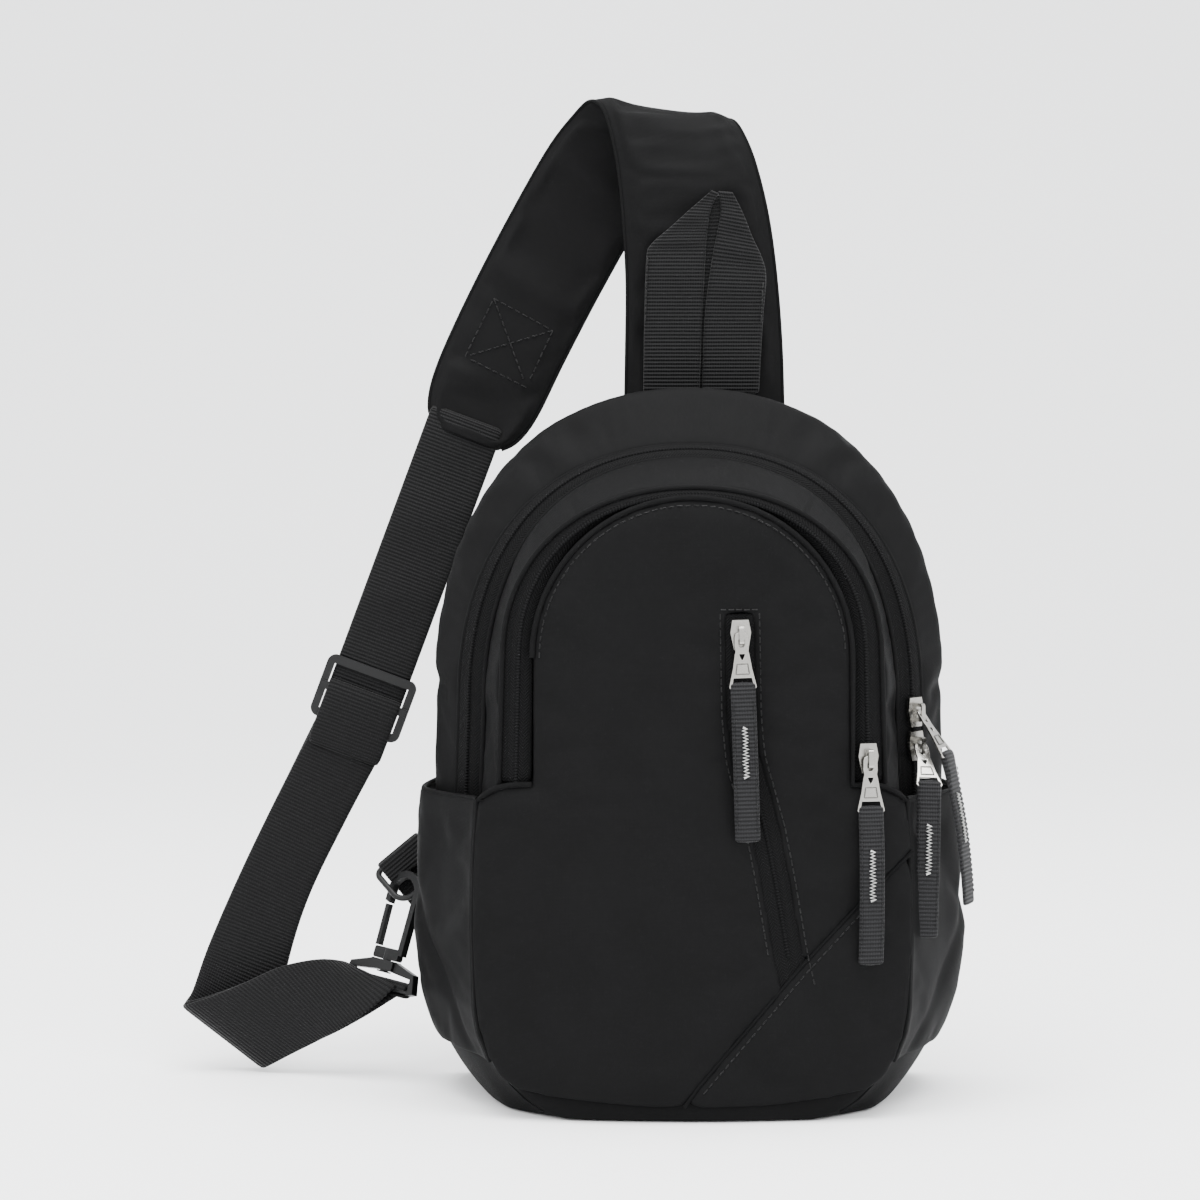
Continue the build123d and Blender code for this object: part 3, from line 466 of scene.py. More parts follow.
def arch(place, inset=0.0):
    """Outline of one upright section, from the left foot over the top to the right foot."""
    y, belly, half, top, foot = place
    belly, half, top, foot = belly - inset, half - inset, top - inset, foot - inset
    rise = top - SPRING_Z
    right = []
    for i in range(10):
        right.append(bezier((foot, 0.6), (belly, inset + 8), (belly, BELLY_Z - 25), (belly, BELLY_Z), i / 10))
    for i in range(12):
        right.append((belly + (half - belly) * i / 12, BELLY_Z + (SPRING_Z - BELLY_Z) * i / 12))
    for i in range(29):
        right.append(bezier((half, SPRING_Z), (half, SPRING_Z + CROWN * rise), (CROWN * half, top),
                            (0, top), i / 28))
    return [Vector((-x, y, z)) for x, z in right] + [Vector((x, y, z)) for x, z in right[-2::-1]]


def between(a, b, t):
    return tuple(p + (q - p) * t for p, q in zip(a, b))


def face_y(x, z, depth=0.0):
    """Front face at a place across and up."""
    return FACE_Y + depth + x * x / (2 * FACE_RADIUS) + (z - LEAN_Z) * LEAN


def face_out(point):
    return Vector((-point.x / FACE_RADIUS, -1.0, LEAN))


def arch_out(points, i):
    """Outward direction of an arch at a point, in its own plane."""
    a, b = points[max(i - 1, 0)], points[min(i + 1, len(points) - 1)]
    along = b - a
    return Vector((-along.z, 0, along.x)).normalized()


def band(stations, bulge, low=None, high=None, across=8, dip=0.9):
    """Rows of points of a gusset through sections, swelling between its seams."""
    rows = []
    total = (len(stations) - 1) * across
    for k in range(total + 1):
        i = min(k // across, len(stations) - 2)
        rows.append(arch(between(stations[i], stations[i + 1], k / across - i)))
    out = []
    count = len(rows[0])
    for j in range(count):
        line = []
        for k, row in enumerate(rows):
            share = k / total
            swell = bulge * math.sin(math.pi * share) ** 0.7 - dip * (1 - min(1, 8 * min(share, 1 - share)))
            line.append(row[j] + arch_out(row, j) * swell)
        z = line[len(line) // 2].z
        if (low is None or z >= low) and (high is None or z <= high):
            out.append(line)
    return out


def band_piece(name, rows, mat, slot, stands_for, thick=2.4, puff=None):
    data = sheet_mesh(name, rows)
    piece = new_object(name, data, mat, "bag", slot, *stands_for)
    wide, tall = len(rows[0]), len(rows)
    if puff:
        held = [i * wide + j for i in range(tall) for j in range(wide)
                if j in (0, wide - 1) or i in (0, tall - 1)]
        cloth_puff(piece, held, **puff)
    soften(piece, 1, thick, -1.0)
    return piece


def subdivide_rows(rows):
    """Halves the spacing along the rows so that cloth can crease."""
    out = []
    for a, b in zip(rows, rows[1:]):
        out.append(a)
        out.append([(p + q) * 0.5 for p, q in zip(a, b)])
    out.append(rows[-1])
    return out


# ---------------------------------------------------------------- gussets, zips and base
rear_rows = subdivide_rows(band([BACK, BELLY, ZIP_REAR], 1.6, low=BASE_SEAM_Z - 1, across=6))
band_piece("rear_gusset_cloth", rear_rows, SHELL, "shell_fabric", ["rear_gusset"],
           puff=dict(pressure=1.2, shrink=-0.022, cap=2.4))
front_rows = subdivide_rows(band([ZIP_FRONT, FRONT], 0.8, low=BASE_SEAM_Z - 1, across=10))
for row in front_rows:
    for j, p in enumerate(row):
        limit = face_y(p.x, p.z, 4.0)
        if p.y < limit:
            row[j] = Vector((p.x, limit, p.z))
band_piece("front_gusset_cloth", front_rows, SHELL, "shell_fabric", ["front_gusset"],
           puff=dict(pressure=1.0, shrink=-0.02, cap=2.0))
band_piece("main_zip_tape", band([ZIP_REAR, ZIP_FRONT], 1.7, low=69, across=8, dip=0.6), TAPE,
           "zipper_tape", ["main_zipper_tape"], thick=1.2)
band_piece("lower_gusset_cloth", band([ZIP_REAR, ZIP_FRONT], 0.4, low=25, high=72, across=6, dip=0.0)[:14],
           SHELL, "shell_fabric", ["lower_gusset"], thick=1.2)


def coil_piece(name, path, out_of, half, high, stands_for):
    """Zip coil: a low crowned ridge along a path, with its turns across it."""
    rows = []
    for i, point in enumerate(path):
        along = (path[min(i + 1, len(path) - 1)] - path[max(i - 1, 0)]).normalized()
        out = out_of(point, i)
        side = along.cross(out).normalized()
        rows.append([point + side * half * math.cos(t) + out * high * math.sin(t)
                     for t in (math.pi, 0.8 * math.pi, 0.6 * math.pi, 0.4 * math.pi, 0.2 * math.pi, 0)])
    piece = new_object(name, sheet_mesh(name, rows), COIL, "bag", "zipper_coil", *stands_for)
    soften(piece, 1)
    return piece


zip_middle = [p for p in arch(between(ZIP_REAR, ZIP_FRONT, 0.5)) if p.z > 70]
coil_piece("main_zip_coil", resample(zip_middle, 2.0), lambda p, i: (Vector((p.x, 0, max(0, p.z - SPRING_Z)))
           .normalized() * 0.62 + Vector((0, -0.785, 0))).normalized(), 1.0, 2.1, ["main_zipper_coil"])

# ---------------------------------------------------------------- front face
PANEL_HALF = 67.0
PANEL_SPRING_Z = 194.0
SHOULDER_Z = 141.0
POCKET_LINE = [(19.5, 213.0), (20.3, 170.0), (22.0, 152.0), (25.5, 140.0), (30.5, 122.0), (34.4, 102.0),
               (40.2, 68.0), (43.5, 54.0)]
SEAM_LINE = [(-12.0, 5.0), (2.0, 15.0), (20.0, 36.0), (45.0, 65.0), (71.0, 92.0), (89.5, 111.0)]


def panel_outline():
    """Front panel outline, anticlockwise from the left shoulder."""
    points = []
    for i in range(33):
        turn = math.pi - math.pi * i / 32
        points.append((PANEL_HALF * math.cos(turn), PANEL_SPRING_Z + PANEL_HALF * math.sin(turn)))
    right = []
    for a, b, c, d, count in (((67, 141), (80, 141), (84, 139), (90, 134), 6),
                              ((90, 134), (93.5, 110), (93.5, 70), (91, 45), 12),
                              ((91, 45), (88, 30), (85, 19), (74, 13), 8),
                              ((74, 13), (50, 8.2), (25, 6.6), (0, 6.6), 10)):
        right += [bezier(a, b, c, d, i / count) for i in range(count)]
    right.append((0, 6.6))
    return points + right + [(-x, z) for x, z in right[-2::-1]]


def inside(point, outline):
    x, z = point
    odd = False
    for (ax, az), (bx, bz) in zip(outline, outline[1:] + outline[:1]):
        if (az > z) != (bz > z) and x < (bx - ax) * (z - az) / (bz - az) + ax:
            odd = not odd
    return odd


def nearest(point, outlines):
    """Closest place on the outlines, and how far off it is."""
    best, gap = None, 1e9
    p = Vector(point).to_3d()
    for outline in outlines:
        for a, b in zip(outline, outline[1:] + outline[:1]):
            a, b = Vector(a).to_3d(), Vector(b).to_3d()
            place, share = intersect_point_line(p, a, b)
            place = a if share < 0 else b if share > 1 else place
            if (place - p).length < gap:
                best, gap = place, (place - p).length
    return best, gap


def offset_line(line, distance):
    """Line moved sideways, to its right."""
    out = []
    for i, point in enumerate(line):
        a, b = Vector(line[max(i - 1, 0)]), Vector(line[min(i + 1, len(line) - 1)])
        along = (b - a).normalized()
        out.append((point[0] + along.y * distance, point[1] - along.x * distance))
    return out


def strip_outline(line, width):
    return offset_line(line, width / 2) + offset_line(line, -width / 2)[::-1]


EDGE_ROLL = 14.0


def crop(region, holes, step, swell, depth=0.0):
    """Cloth patch on the front face: an even grid cut to an outline, with its edge points."""
    rings = [region] + holes
    xs, zs = [p[0] for p in region], [p[1] for p in region]
    columns = int((max(xs) - min(xs)) / step) + 2
    rows = int((max(zs) - min(zs)) / step) + 2
    left, foot = min(xs) - step / 2, min(zs) - step / 2

    def kept(i, j):
        centre = (left + (i + 0.5) * step, foot + (j + 0.5) * step)
        return inside(centre, region) and not any(inside(centre, hole) for hole in holes)

    index, points, faces = {}, [], []
    for j in range(rows):
        for i in range(columns):
            if kept(i, j):
                corner = []
                for key in ((i, j), (i + 1, j), (i + 1, j + 1), (i, j + 1)):
                    if key not in index:
                        index[key] = len(points)
                        points.append((left + key[0] * step, foot + key[1] * step))
                    corner.append(index[key])
                faces.append(corner)
    uses = {}
    for face in faces:
        for a, b in zip(face, face[1:] + face[:1]):
            uses[frozenset((a, b))] = uses.get(frozenset((a, b)), 0) + 1
    edge = sorted({v for pair, count in uses.items() if count == 1 for v in pair})
    for v in edge:
        place = nearest(points[v], rings)[0]
        points[v] = (place.x, place.y)
    placed = []
    for x, z in points:
        gap = min(nearest((x, z), rings)[1], EDGE_ROLL) if swell else 0.0
        rise = swell * math.sin(gap / EDGE_ROLL * math.pi / 2)
        placed.append(Vector((x, face_y(x, z, depth), z)) + face_out(Vector((x, 0, z))) * rise)
    return placed, faces, edge


def crop_piece(name, region, holes, mat, slot, stands_for, step=4.0, swell=1.2, depth=0.0, thick=2.0,
               puff=None, body="bag"):
    placed, faces, edge = crop(region, holes, step, swell, depth)
    data = bpy.data.meshes.new(name)
    data.from_pydata([p * MM for p in placed], [], [tuple(face) for face in faces])
    set_uv(data, [(p.x * MM, p.z * MM) for p in placed])
    piece = new_object(name, data, mat, body, slot, *stands_for)
    if puff:
        cloth_puff(piece, edge, **puff)
    soften(piece, 1, thick, -1.0)
    return piece


OUTLINE = panel_outline()
TRACK = strip_outline(POCKET_LINE, 11.0)
corner = SEAM_LINE + [(130, 150), (130, -20), (-20, -20)]
upper_region = [p for p in OUTLINE if not inside(p, corner)]
lower_region = [p for p in OUTLINE if inside(p, corner)]


def join_region(points, line):
    """Closes a run of outline points with the seam line."""
    gaps = [(Vector(points[i]) - Vector(points[i - 1])).length for i in range(len(points))]
    start = gaps.index(max(gaps))
    run = points[start:] + points[:start]
    inner = line[:]
    if (Vector(run[-1]) - Vector(inner[0])).length > (Vector(run[-1]) - Vector(inner[-1])).length:
        inner = inner[::-1]
    return run + inner


SEAM_ON_PANEL = [(-3.5, 7.2)] + SEAM_LINE[1:-1] + [(92.6, 112.5)]
panel_piece = crop_piece("front_panel_cloth", join_region(upper_region, SEAM_ON_PANEL), [TRACK], SHELL,
           "shell_fabric", ["front_panel"], swell=0.5, puff=dict(pressure=1.6, shrink=-0.02, cap=2.2))
corner_piece = crop_piece("front_corner_cloth", join_region(lower_region, SEAM_ON_PANEL), [], SHELL,
           "shell_fabric", ["front_corner_panel"], swell=0.5,
                          puff=dict(pressure=1.8, shrink=-0.022, cap=2.4))
crop_piece("pocket_lining", strip_outline([(10, 190), (10, 45)], 100), [], LINING, "lining",
           ["pocket_bag"], step=8, swell=0.5, depth=5.0, thick=0.8)


def settle(points, pieces, lift=0.0):
    """Points of the front face moved onto the cloth of the pieces that lie there."""
    trees = [BVHTree.FromPolygons([v.co for v in p.data.vertices], [f.vertices[:] for f in p.data.polygons])
             for p in pieces]
    out = []
    for point in points:
        start = Vector((point.x, point.y - 30, point.z)) * MM
        hits = [tree.ray_cast(start, Vector((0, 1, 0)), 0.08)[0] for tree in trees]
        depths = [hit.y / MM for hit in hits if hit]
        y = min(depths) if depths else point.y
        out.append(Vector((point.x, y, point.z)) + face_out(point) * lift)
    return out


def on_face(line, lift):
    return [Vector((x, face_y(x, z), z)) + face_out(Vector((x, 0, z))) * lift for x, z in line]


def flat_strip(name, line, width, lift, mat, slot, stands_for, thick=1.0, body="bag"):
    """Tape along a line on the front face."""
    middle = resample([Vector((x, z, 0)) for x, z in line], 3.0)
    middle = [(p.x, p.y) for p in middle]
    rows = []
    for i, (x, z) in enumerate(middle):
        a, b = Vector(middle[max(i - 1, 0)]), Vector(middle[min(i + 1, len(middle) - 1)])
        along = (b - a).normalized()
        rows.append([on_face([(x + along.y * width * (k / 4 - 0.5), z - along.x * width * (k / 4 - 0.5))],
                             lift)[0] for k in range(5)])
    piece = new_object(name, sheet_mesh(name, rows), mat, body, slot, *stands_for)
    soften(piece, 1, thick, -1.0)
    return piece


def face_stitches(name, line, pieces, pitch):
    """Stitches along a line on the front face, laid on the cloth of the pieces there."""
    stitches(name, settle(resample(on_face(line, 0), pitch), pieces), face_out, "bag", pitch=pitch)


flat_strip("pocket_zip_tape", POCKET_LINE, 14.5, -0.6, TAPE, "zipper_tape", ["pocket_zipper_tape"])
pocket_run = resample([Vector((x, z, 0)) for x, z in POCKET_LINE], 2.0)
pocket_run = [on_face([(p.x, p.y)], -0.4)[0] for p in pocket_run[2:] if p.y > 68]
coil_piece("pocket_zip_coil", pocket_run, lambda p, i: face_out(p).normalized(), 0.8, 0.5,
           ["pocket_zipper_coil"])
for which, distance in (("inner", -8.2), ("outer", 8.2)):
    run = offset_line(POCKET_LINE, distance)
    if which == "outer":
        run = run[:-1]
    face_stitches("pocket_topstitch_" + which, run, [panel_piece, corner_piece], 3.4)
face_stitches("pocket_top_stitch", [(11.3, 214.5), (27.9, 214.5)], [panel_piece], 3.3)
face_stitches("seam_topstitch", offset_line(SEAM_ON_PANEL, 3.2)[1:-1], [corner_piece], 3.5)
seam("seam_roll", on_face(SEAM_ON_PANEL, -0.35), 0.8)


def front_arch(half, top, foot_half):
    rise = top - PANEL_SPRING_Z
    right = [(foot_half + (half - foot_half) * i / 8, SHOULDER_Z + (PANEL_SPRING_Z - SHOULDER_Z) * i / 8)
             for i in range(8)]
    right += [bezier((half, PANEL_SPRING_Z), (half, PANEL_SPRING_Z + 0.6 * rise), (0.6 * half, top), (0, top),
                     i / 22) for i in range(23)]
    return [(-x, z) for x, z in right] + right[-2::-1]


outer_line = front_arch(79.5, 265.2, 81.0)
inner_line = front_arch(66.4, 260.4, 67.0)
front_tape = []
for (ax, az), (bx, bz) in zip(outer_line, inner_line):
    row = []
    for k in range(7):
        x, z = ax + (bx - ax) * k / 6, az + (bz - az) * k / 6
        row.append(Vector((x, face_y(x, z, 0.2 + 2.4 * math.cos(math.pi * k / 6) ** 2), z)))
    front_tape.append(row)
band_piece("front_zip_tape", front_tape, TAPE, "zipper_tape", ["front_zipper_tape"], thick=1.2)
front_run = resample([Vector((x, z, 0)) for x, z in front_arch(72.6, 261.8, 73.8)], 2.0)
coil_piece("front_zip_coil", [Vector((p.x, face_y(p.x, p.y, 0.4), p.y)) for p in front_run],
           lambda p, i: face_out(p).normalized(), 0.9, 0.75, ["front_zipper_coil"])
seam("front_panel_roll", on_face([p for p in OUTLINE if p[1] > SHOULDER_Z - 8], 0.1), 1.3)
face_stitches("front_panel_topstitch", [(x * 0.955, PANEL_SPRING_Z + (z - PANEL_SPRING_Z) * 0.955)
                                        for x, z in OUTLINE[:33]], [panel_piece], 3.5)
seam("front_zip_seam", [Vector((x, face_y(x, z, 2.4), z)) for x, z in outer_line], 1.2)
for which, place in (("rear", ZIP_REAR), ("front", ZIP_FRONT)):
    seam("main_zip_seam_" + which, [p for p in arch(place, 0.5) if p.z > 28], 1.2)

# ---------------------------------------------------------------- base


def along_y(points, y):
    """Width of a line of (x, y) points at a depth."""
    if y <= points[0][1]:
        return points[0][0]
    for a, b in zip(points, points[1:]):
        if a[1] <= y <= b[1]:
            return a[0] + (b[0] - a[0]) * (y - a[1]) / max(b[1] - a[1], 1e-6)
    return points[-1][0]


def edge_x(z):
    """Half width of the front panel where the side pockets are sewn to it."""
    return along_y([(84.6, 24.0), (86.0, 28.0), (89.2, 35.0), (91.0, 45.0), (92.0, 80.0), (91.5, 110.0),
                    (90.0, 134.0)], z)


def side_curve(reach, back, z):
    """Level line round a side pocket from its front edge to the back seam."""
    front = edge_x(z)
    keys = [Vector((front, face_y(front, z, 2.6), 0)), Vector((0.45 * 90 + 0.55 * reach, -13, 0)),
            Vector((reach, 12, 0)), Vector((back, 44, 0))]
    tangents = [Vector((4, 26, 0)), (keys[2] - keys[0]) * 0.5, (keys[3] - keys[1]) * 0.5,
                Vector((-7, 28, 0))]
    points = []
    for i in range(3):
        for k in range(9):
            t = k / 9
            a, b = keys[i], keys[i + 1]
            points.append(a * (2 * t ** 3 - 3 * t ** 2 + 1) + tangents[i] * (t ** 3 - 2 * t ** 2 + t)
                          + b * (3 * t ** 2 - 2 * t ** 3) + tangents[i + 1] * (t ** 3 - t ** 2))
    return points + [keys[-1]]


FOOT_LINE = [(48.0, -52.0), (63.0, -47.0), (74.0, -36.0), (82.0, -14.0), (86.0, 14.0), (86.0, 46.0)]
TOP_LINE = [(p.x - 0.6, p.y) for p in side_curve(107.5, 106.8, 25.0)]


def base_loop(z):
    """Level line round the base: narrow on the ground, as wide as the pockets at its seam."""
    share = min(1.0, max(0.0, z / BASE_SEAM_Z)) ** 0.62
    corner = 46.0 + (85.0 - 46.0) * min(1.0, max(0.0, z / BASE_SEAM_Z)) ** 0.5
    front = face_y(corner, z, 3.4)
    right = []
    for i in range(15):
        y = front + (45.0 - front) * (i / 14) ** 1.25
        foot, top = along_y(FOOT_LINE, y), along_y(TOP_LINE, y)
        x = foot + (top - foot) * share
        x = corner + (x - corner) * min(1.0, (i / 4)) ** 0.6 if i < 4 else x
        right.append(Vector((x, y, z)))
    back = [Vector((right[-1].x * (1 - 2 * i / 12), 45.4, z)) for i in range(1, 12)]
    left = [Vector((-p.x, p.y, z)) for p in right[::-1]]
    front_line = [Vector((-corner * (1 - 2 * i / 16), face_y(corner * (1 - 2 * i / 16), z, 3.4), z))
                  for i in range(1, 16)]
    return right + back + left + front_line


loops = [base_loop(z) for z in (0.5, 1.6, 4.0, 8.0, 12.0, 16.0, 20.0, 24.0, 26.8)]
loops.insert(0, [Vector((p.x * 0.93, p.y * 0.9, 0.3)) for p in loops[0]])
base = new_object("base_cloth", sheet_mesh("base_cloth", loops, closed=True), SHELL, "bag", "shell_fabric",
                  "base_panel")
soften(base, 1)
for side, which in ((-1, "left"), (1, "right")):
    seam("base_seam_" + which, [Vector((side * (p.x + 0.4), p.y, 25.4)) for p in base_loop(25.4)[:15]], 0.9)
    corner_line = [Vector((side * p.x, p.y - 0.3, z)) for z in (3, 8, 14, 20, 25) for p in (base_loop(z)[1],)]
    seam("base_corner_seam_" + which, corner_line, 0.45)

# ---------------------------------------------------------------- back of the bag
CHANNEL_X = 34.0
back_outline = [(p.x, p.z) for p in arch(BACK, -0.4)]


def back_patch():
    """Padded back: three sewn channels up its middle."""
    placed, faces, edge = crop(back_outline, [], 5.0, 0.0)
    shaped = []
    for p in placed:
        gap = min(nearest((p.x, p.z), [back_outline])[1], 16.0)
        groove = min(abs(abs(p.x) - CHANNEL_X), 9.0) / 9.0
        rise = 1.9 * math.sin(gap / 16 * math.pi / 2) * (0.25 + 0.75 * math.sin(groove * math.pi / 2))
        shaped.append(Vector((p.x, 46.2 + rise, p.z)))
    data = bpy.data.meshes.new("back_padding")
    data.from_pydata([p * MM for p in shaped], [], [tuple(face)[::-1] for face in faces])
    set_uv(data, [(p.x * MM, p.z * MM) for p in shaped])
    piece = new_object("back_padding", data, MESH_BACK, "bag", "shell_fabric", "back_panel", "back_foam")
    held = edge + [i for i, p in enumerate(shaped) if abs(abs(p.x) - CHANNEL_X) < 2.6]
    cloth_puff(piece, held, pressure=1.5, shrink=-0.02, cap=1.6)
    soften(piece, 1, 3.0, -1.0)
    return piece


back_patch()
tube("back_binding_tape", arch((45.8, 103.9, 100.9, 298.9, 88.9)), 2.3, BINDING, "bag", "webbing",
     ["back_binding"])
for side in (-1, 1):
    stitches("back_channel_" + ("left" if side < 0 else "right"),
             [Vector((side * CHANNEL_X, 47.4, z)) for z in (12, 150, 282)], (0, 1, 0), "bag")

# ---------------------------------------------------------------- inside
crop_piece("divider_lining", [(p.x, p.z) for p in arch(ZIP_FRONT, 5.0)], [], LINING, "lining",
           ["divider_panel"], step=9, swell=0.0, depth=41.0, thick=0.8)
crop_piece("slip_pocket_lining", [(-66, 52), (66, 52), (68, 60), (68, 178), (-68, 178), (-68, 60)], [],
           LINING, "lining", ["slip_pocket"], step=9, swell=0.0, depth=84.0, thick=0.6)

# ---------------------------------------------------------------- side pockets


def pocket_rows(side):
    """Rows up a side pocket, with the creases that run down to its front corner."""
    levels = ((24.0, 107.5, 106.8), (45.0, 114.5, 107.6), (72.0, 118.2, 108.2), (101.0, 117.0, 108.0),
              (127.0, 115.6, 107.6), (134.0, 115.0, 107.4))
    rows = []
    for z in [24 + 110 * i / 30 for i in range(31)]:
        for (za, ra, ba), (zb, rb, bb) in zip(levels, levels[1:]):
            if za <= z <= zb:
                t = (z - za) / (zb - za)
                reach, back = ra + (rb - ra) * t, ba + (bb - ba) * t
                break
        row = []
        for i, p in enumerate(side_curve(reach, back, z)):
            share = i / 27
            crease = math.exp(-((z - (128 - 110 * (1 - share) * 1.1)) / 7) ** 2) * math.sin(math.pi * share)
            fold = 0.2 * math.sin(z / 11.0 + share * 4.0) * math.sin(math.pi * share)
            p = Vector((p.x - 1.9 * crease + fold, p.y, z - 1.6 * math.sin(math.pi * share)
                        * max(0, (z - 100) / 34)))
            row.append(Vector((side * p.x, p.y, p.z)))
        rows.append(row)
    return rows


for side, which in ((-1, "left"), (1, "right")):
    rows = pocket_rows(side)
    data = sheet_mesh(f"side_pocket_{which}_cloth", rows)
    piece = new_object(f"side_pocket_{which}_cloth", data, SHELL, "bag", "shell_fabric",
                       f"side_pocket_{which}")
    wide, tall = len(rows[0]), len(rows)
    held = [i * wide + j for i in range(tall) for j in range(wide)
            if j in (0, 1, wide - 1) or i == 0 or i >= tall - 3]
    cloth_puff(piece, held, pressure=1.0, shrink=-0.015, cap=1.4)
    soften(piece, 1, 1.5, -1.0 if side < 0 else 1.0)
    out = (lambda p, s=side: Vector((s, -0.6, 0)))
    hem = [p + Vector((side * 0.9, -0.5, -4.0)) for p in rows[-1]]
    stitches(f"side_pocket_{which}_hem", hem, out, "bag", pitch=3.4)
    seam(f"side_pocket_{which}_rim", rows[-1], 1.15)
    seam(f"side_pocket_{which}_seam", [row[0] + Vector((0, -0.6, 0)) for row in rows], 1.1)

# ---------------------------------------------------------------- strap pad
PAD_ROUTE = [
    ((7.6, 52.4, 290.0), 71, (1, 0, 0), (0, 0, 1)),
    ((7.4, 53.0, 322.0), 69.5, (1, 0, 0), (-0.02, 0, 1)),
    ((6.4, 53.0, 352.0), 67, (1, 0, 0), (-0.04, 0, 1)),
    ((4.0, 53.2, 378.0), 65, (1, 0, 0), (-0.08, 0.03, 1)),
    ((0.5, 54.6, 400.0), 62.5, (1, 0, -0.02), (-0.14, 0.12, 1)),
    ((-3.6, 58.0, 416.0), 60.5, (1, 0, -0.05), (-0.22, 0.3, 0.9)),
    ((-8.6, 64.0, 426.6), 58.5, (1, 0.03, -0.09), (-0.35, 0.75, 0.55)),
    ((-15.4, 71.5, 427.4), 56.5, (0.98, 0.05, -0.2), (-0.5, 0.8, -0.35)),
    ((-24.4, 76.8, 418.0), 54.5, (0.93, 0.04, -0.36), (-0.5, 0.35, -0.8)),
    ((-40.0, 78.6, 398.0), 52.5, (0.87, 0, -0.49), (-0.5, 0.03, -0.86)),
    ((-60.0, 77.6, 363.0), 52, (0.87, 0, -0.49), (-0.5, -0.04, -0.87)),
    ((-77.5, 73.8, 329.0), 51.5, (0.88, 0, -0.47), (-0.45, -0.12, -0.88)),
    ((-89.5, 69.2, 303.0), 50, (0.9, 0, -0.43), (-0.41, -0.14, -0.9)),
    ((-95.5, 66.4, 289.5), 43, (0.92, 0, -0.39), (-0.4, -0.14, -0.9)),
    ((-98.4, 65.0, 282.5), 30, (0.93, 0, -0.37), (-0.38, -0.12, -0.9)),
]


def catmull(values, place):
    """Value part of the way along a smooth curve through the values."""
    i = min(int(place), len(values) - 2)
    t = place - i
    p0, p1, p2, p3 = (values[max(0, min(len(values) - 1, i + k))] for k in (-1, 0, 1, 2))
    return 0.5 * ((2 * p1) + (p2 - p0) * t + (2 * p0 - 5 * p1 + 4 * p2 - p3) * t * t
                  + (3 * p1 - p0 - 3 * p2 + p3) * t ** 3)


def smooth_route(stops, share):
    """Station part of the way along a route, on a smooth curve through its stops."""
    columns = [[Vector(v) if isinstance(v, tuple) else v for v in column] for column in zip(*stops)]
    return [catmull(column, share * (len(stops) - 1)) for column in columns]


def pad_frame(share):
    centre, width, across, along = smooth_route(PAD_ROUTE, share)
    across = across.normalized()
    normal = across.cross(along).normalized()
    return centre, width, across, normal


def make_pad():
    """Crowned pad with pinched, sewn edges."""
    rows = []
    around = 30
    for i in range(91):
        centre, width, across, normal = pad_frame(i / 90)
        ring = []
        for k in range(around):
            turn = 2 * math.pi * k / around
            c, s = math.cos(turn), math.sin(turn)
            u = math.copysign(abs(c) ** 0.55, c)
            thick = 3.3 * math.copysign(abs(s) ** 0.75, s) * (1 - 0.35 * abs(u) ** 6)
            ring.append(centre + across * u * (width / 2 - 0.6) + normal * thick)
        rows.append(ring)
    data = sheet_mesh("strap_pad_cloth", rows, closed=True)
    piece = new_object("strap_pad_cloth", data, SHELL, "bag", "shell_fabric", "strap_pad", "strap_pad_foam")
    held = []
    for i in range(91):
        for k in range(around):
            beside = min(k % (around // 2), -k % (around // 2)) <= 3
            turn = 2 * math.pi * k / around
            boxed = 68 <= i <= 75 and math.sin(turn) < 0 and abs(math.cos(turn)) < 0.5
            if beside or boxed or i < 2 or i > 86:
                held.append(i * around + k)
    cloth_puff(piece, held, pressure=1.8, shrink=-0.05, cap=2.2)
    soften(piece, 1)


make_pad()


def pad_place(share, sideways, lift):
    centre, width, across, normal = pad_frame(share)
    return centre + across * (width / 2 * sideways) + normal * lift


for side, which in ((-1, "left"), (1, "right")):
    seam(f"strap_pad_{which}_seam", [pad_place(i / 90, side * 0.985, 0) for i in range(1, 89)], 0.8)


def pad_line(corners, lift):
    return [pad_place(i / 14, side, lift) for i, side in corners]


BOX = [(10.72, -0.58), (10.72, 0.58), (11.6, 0.6), (11.6, -0.6)]
for number, (first, last) in enumerate(((0, 1), (1, 2), (2, 3), (3, 0), (0, 2), (1, 3))):
    stitches(f"strap_pad_box_{number}", pad_line([BOX[first], BOX[last]], -3.5), (0, -1, 0), "bag")

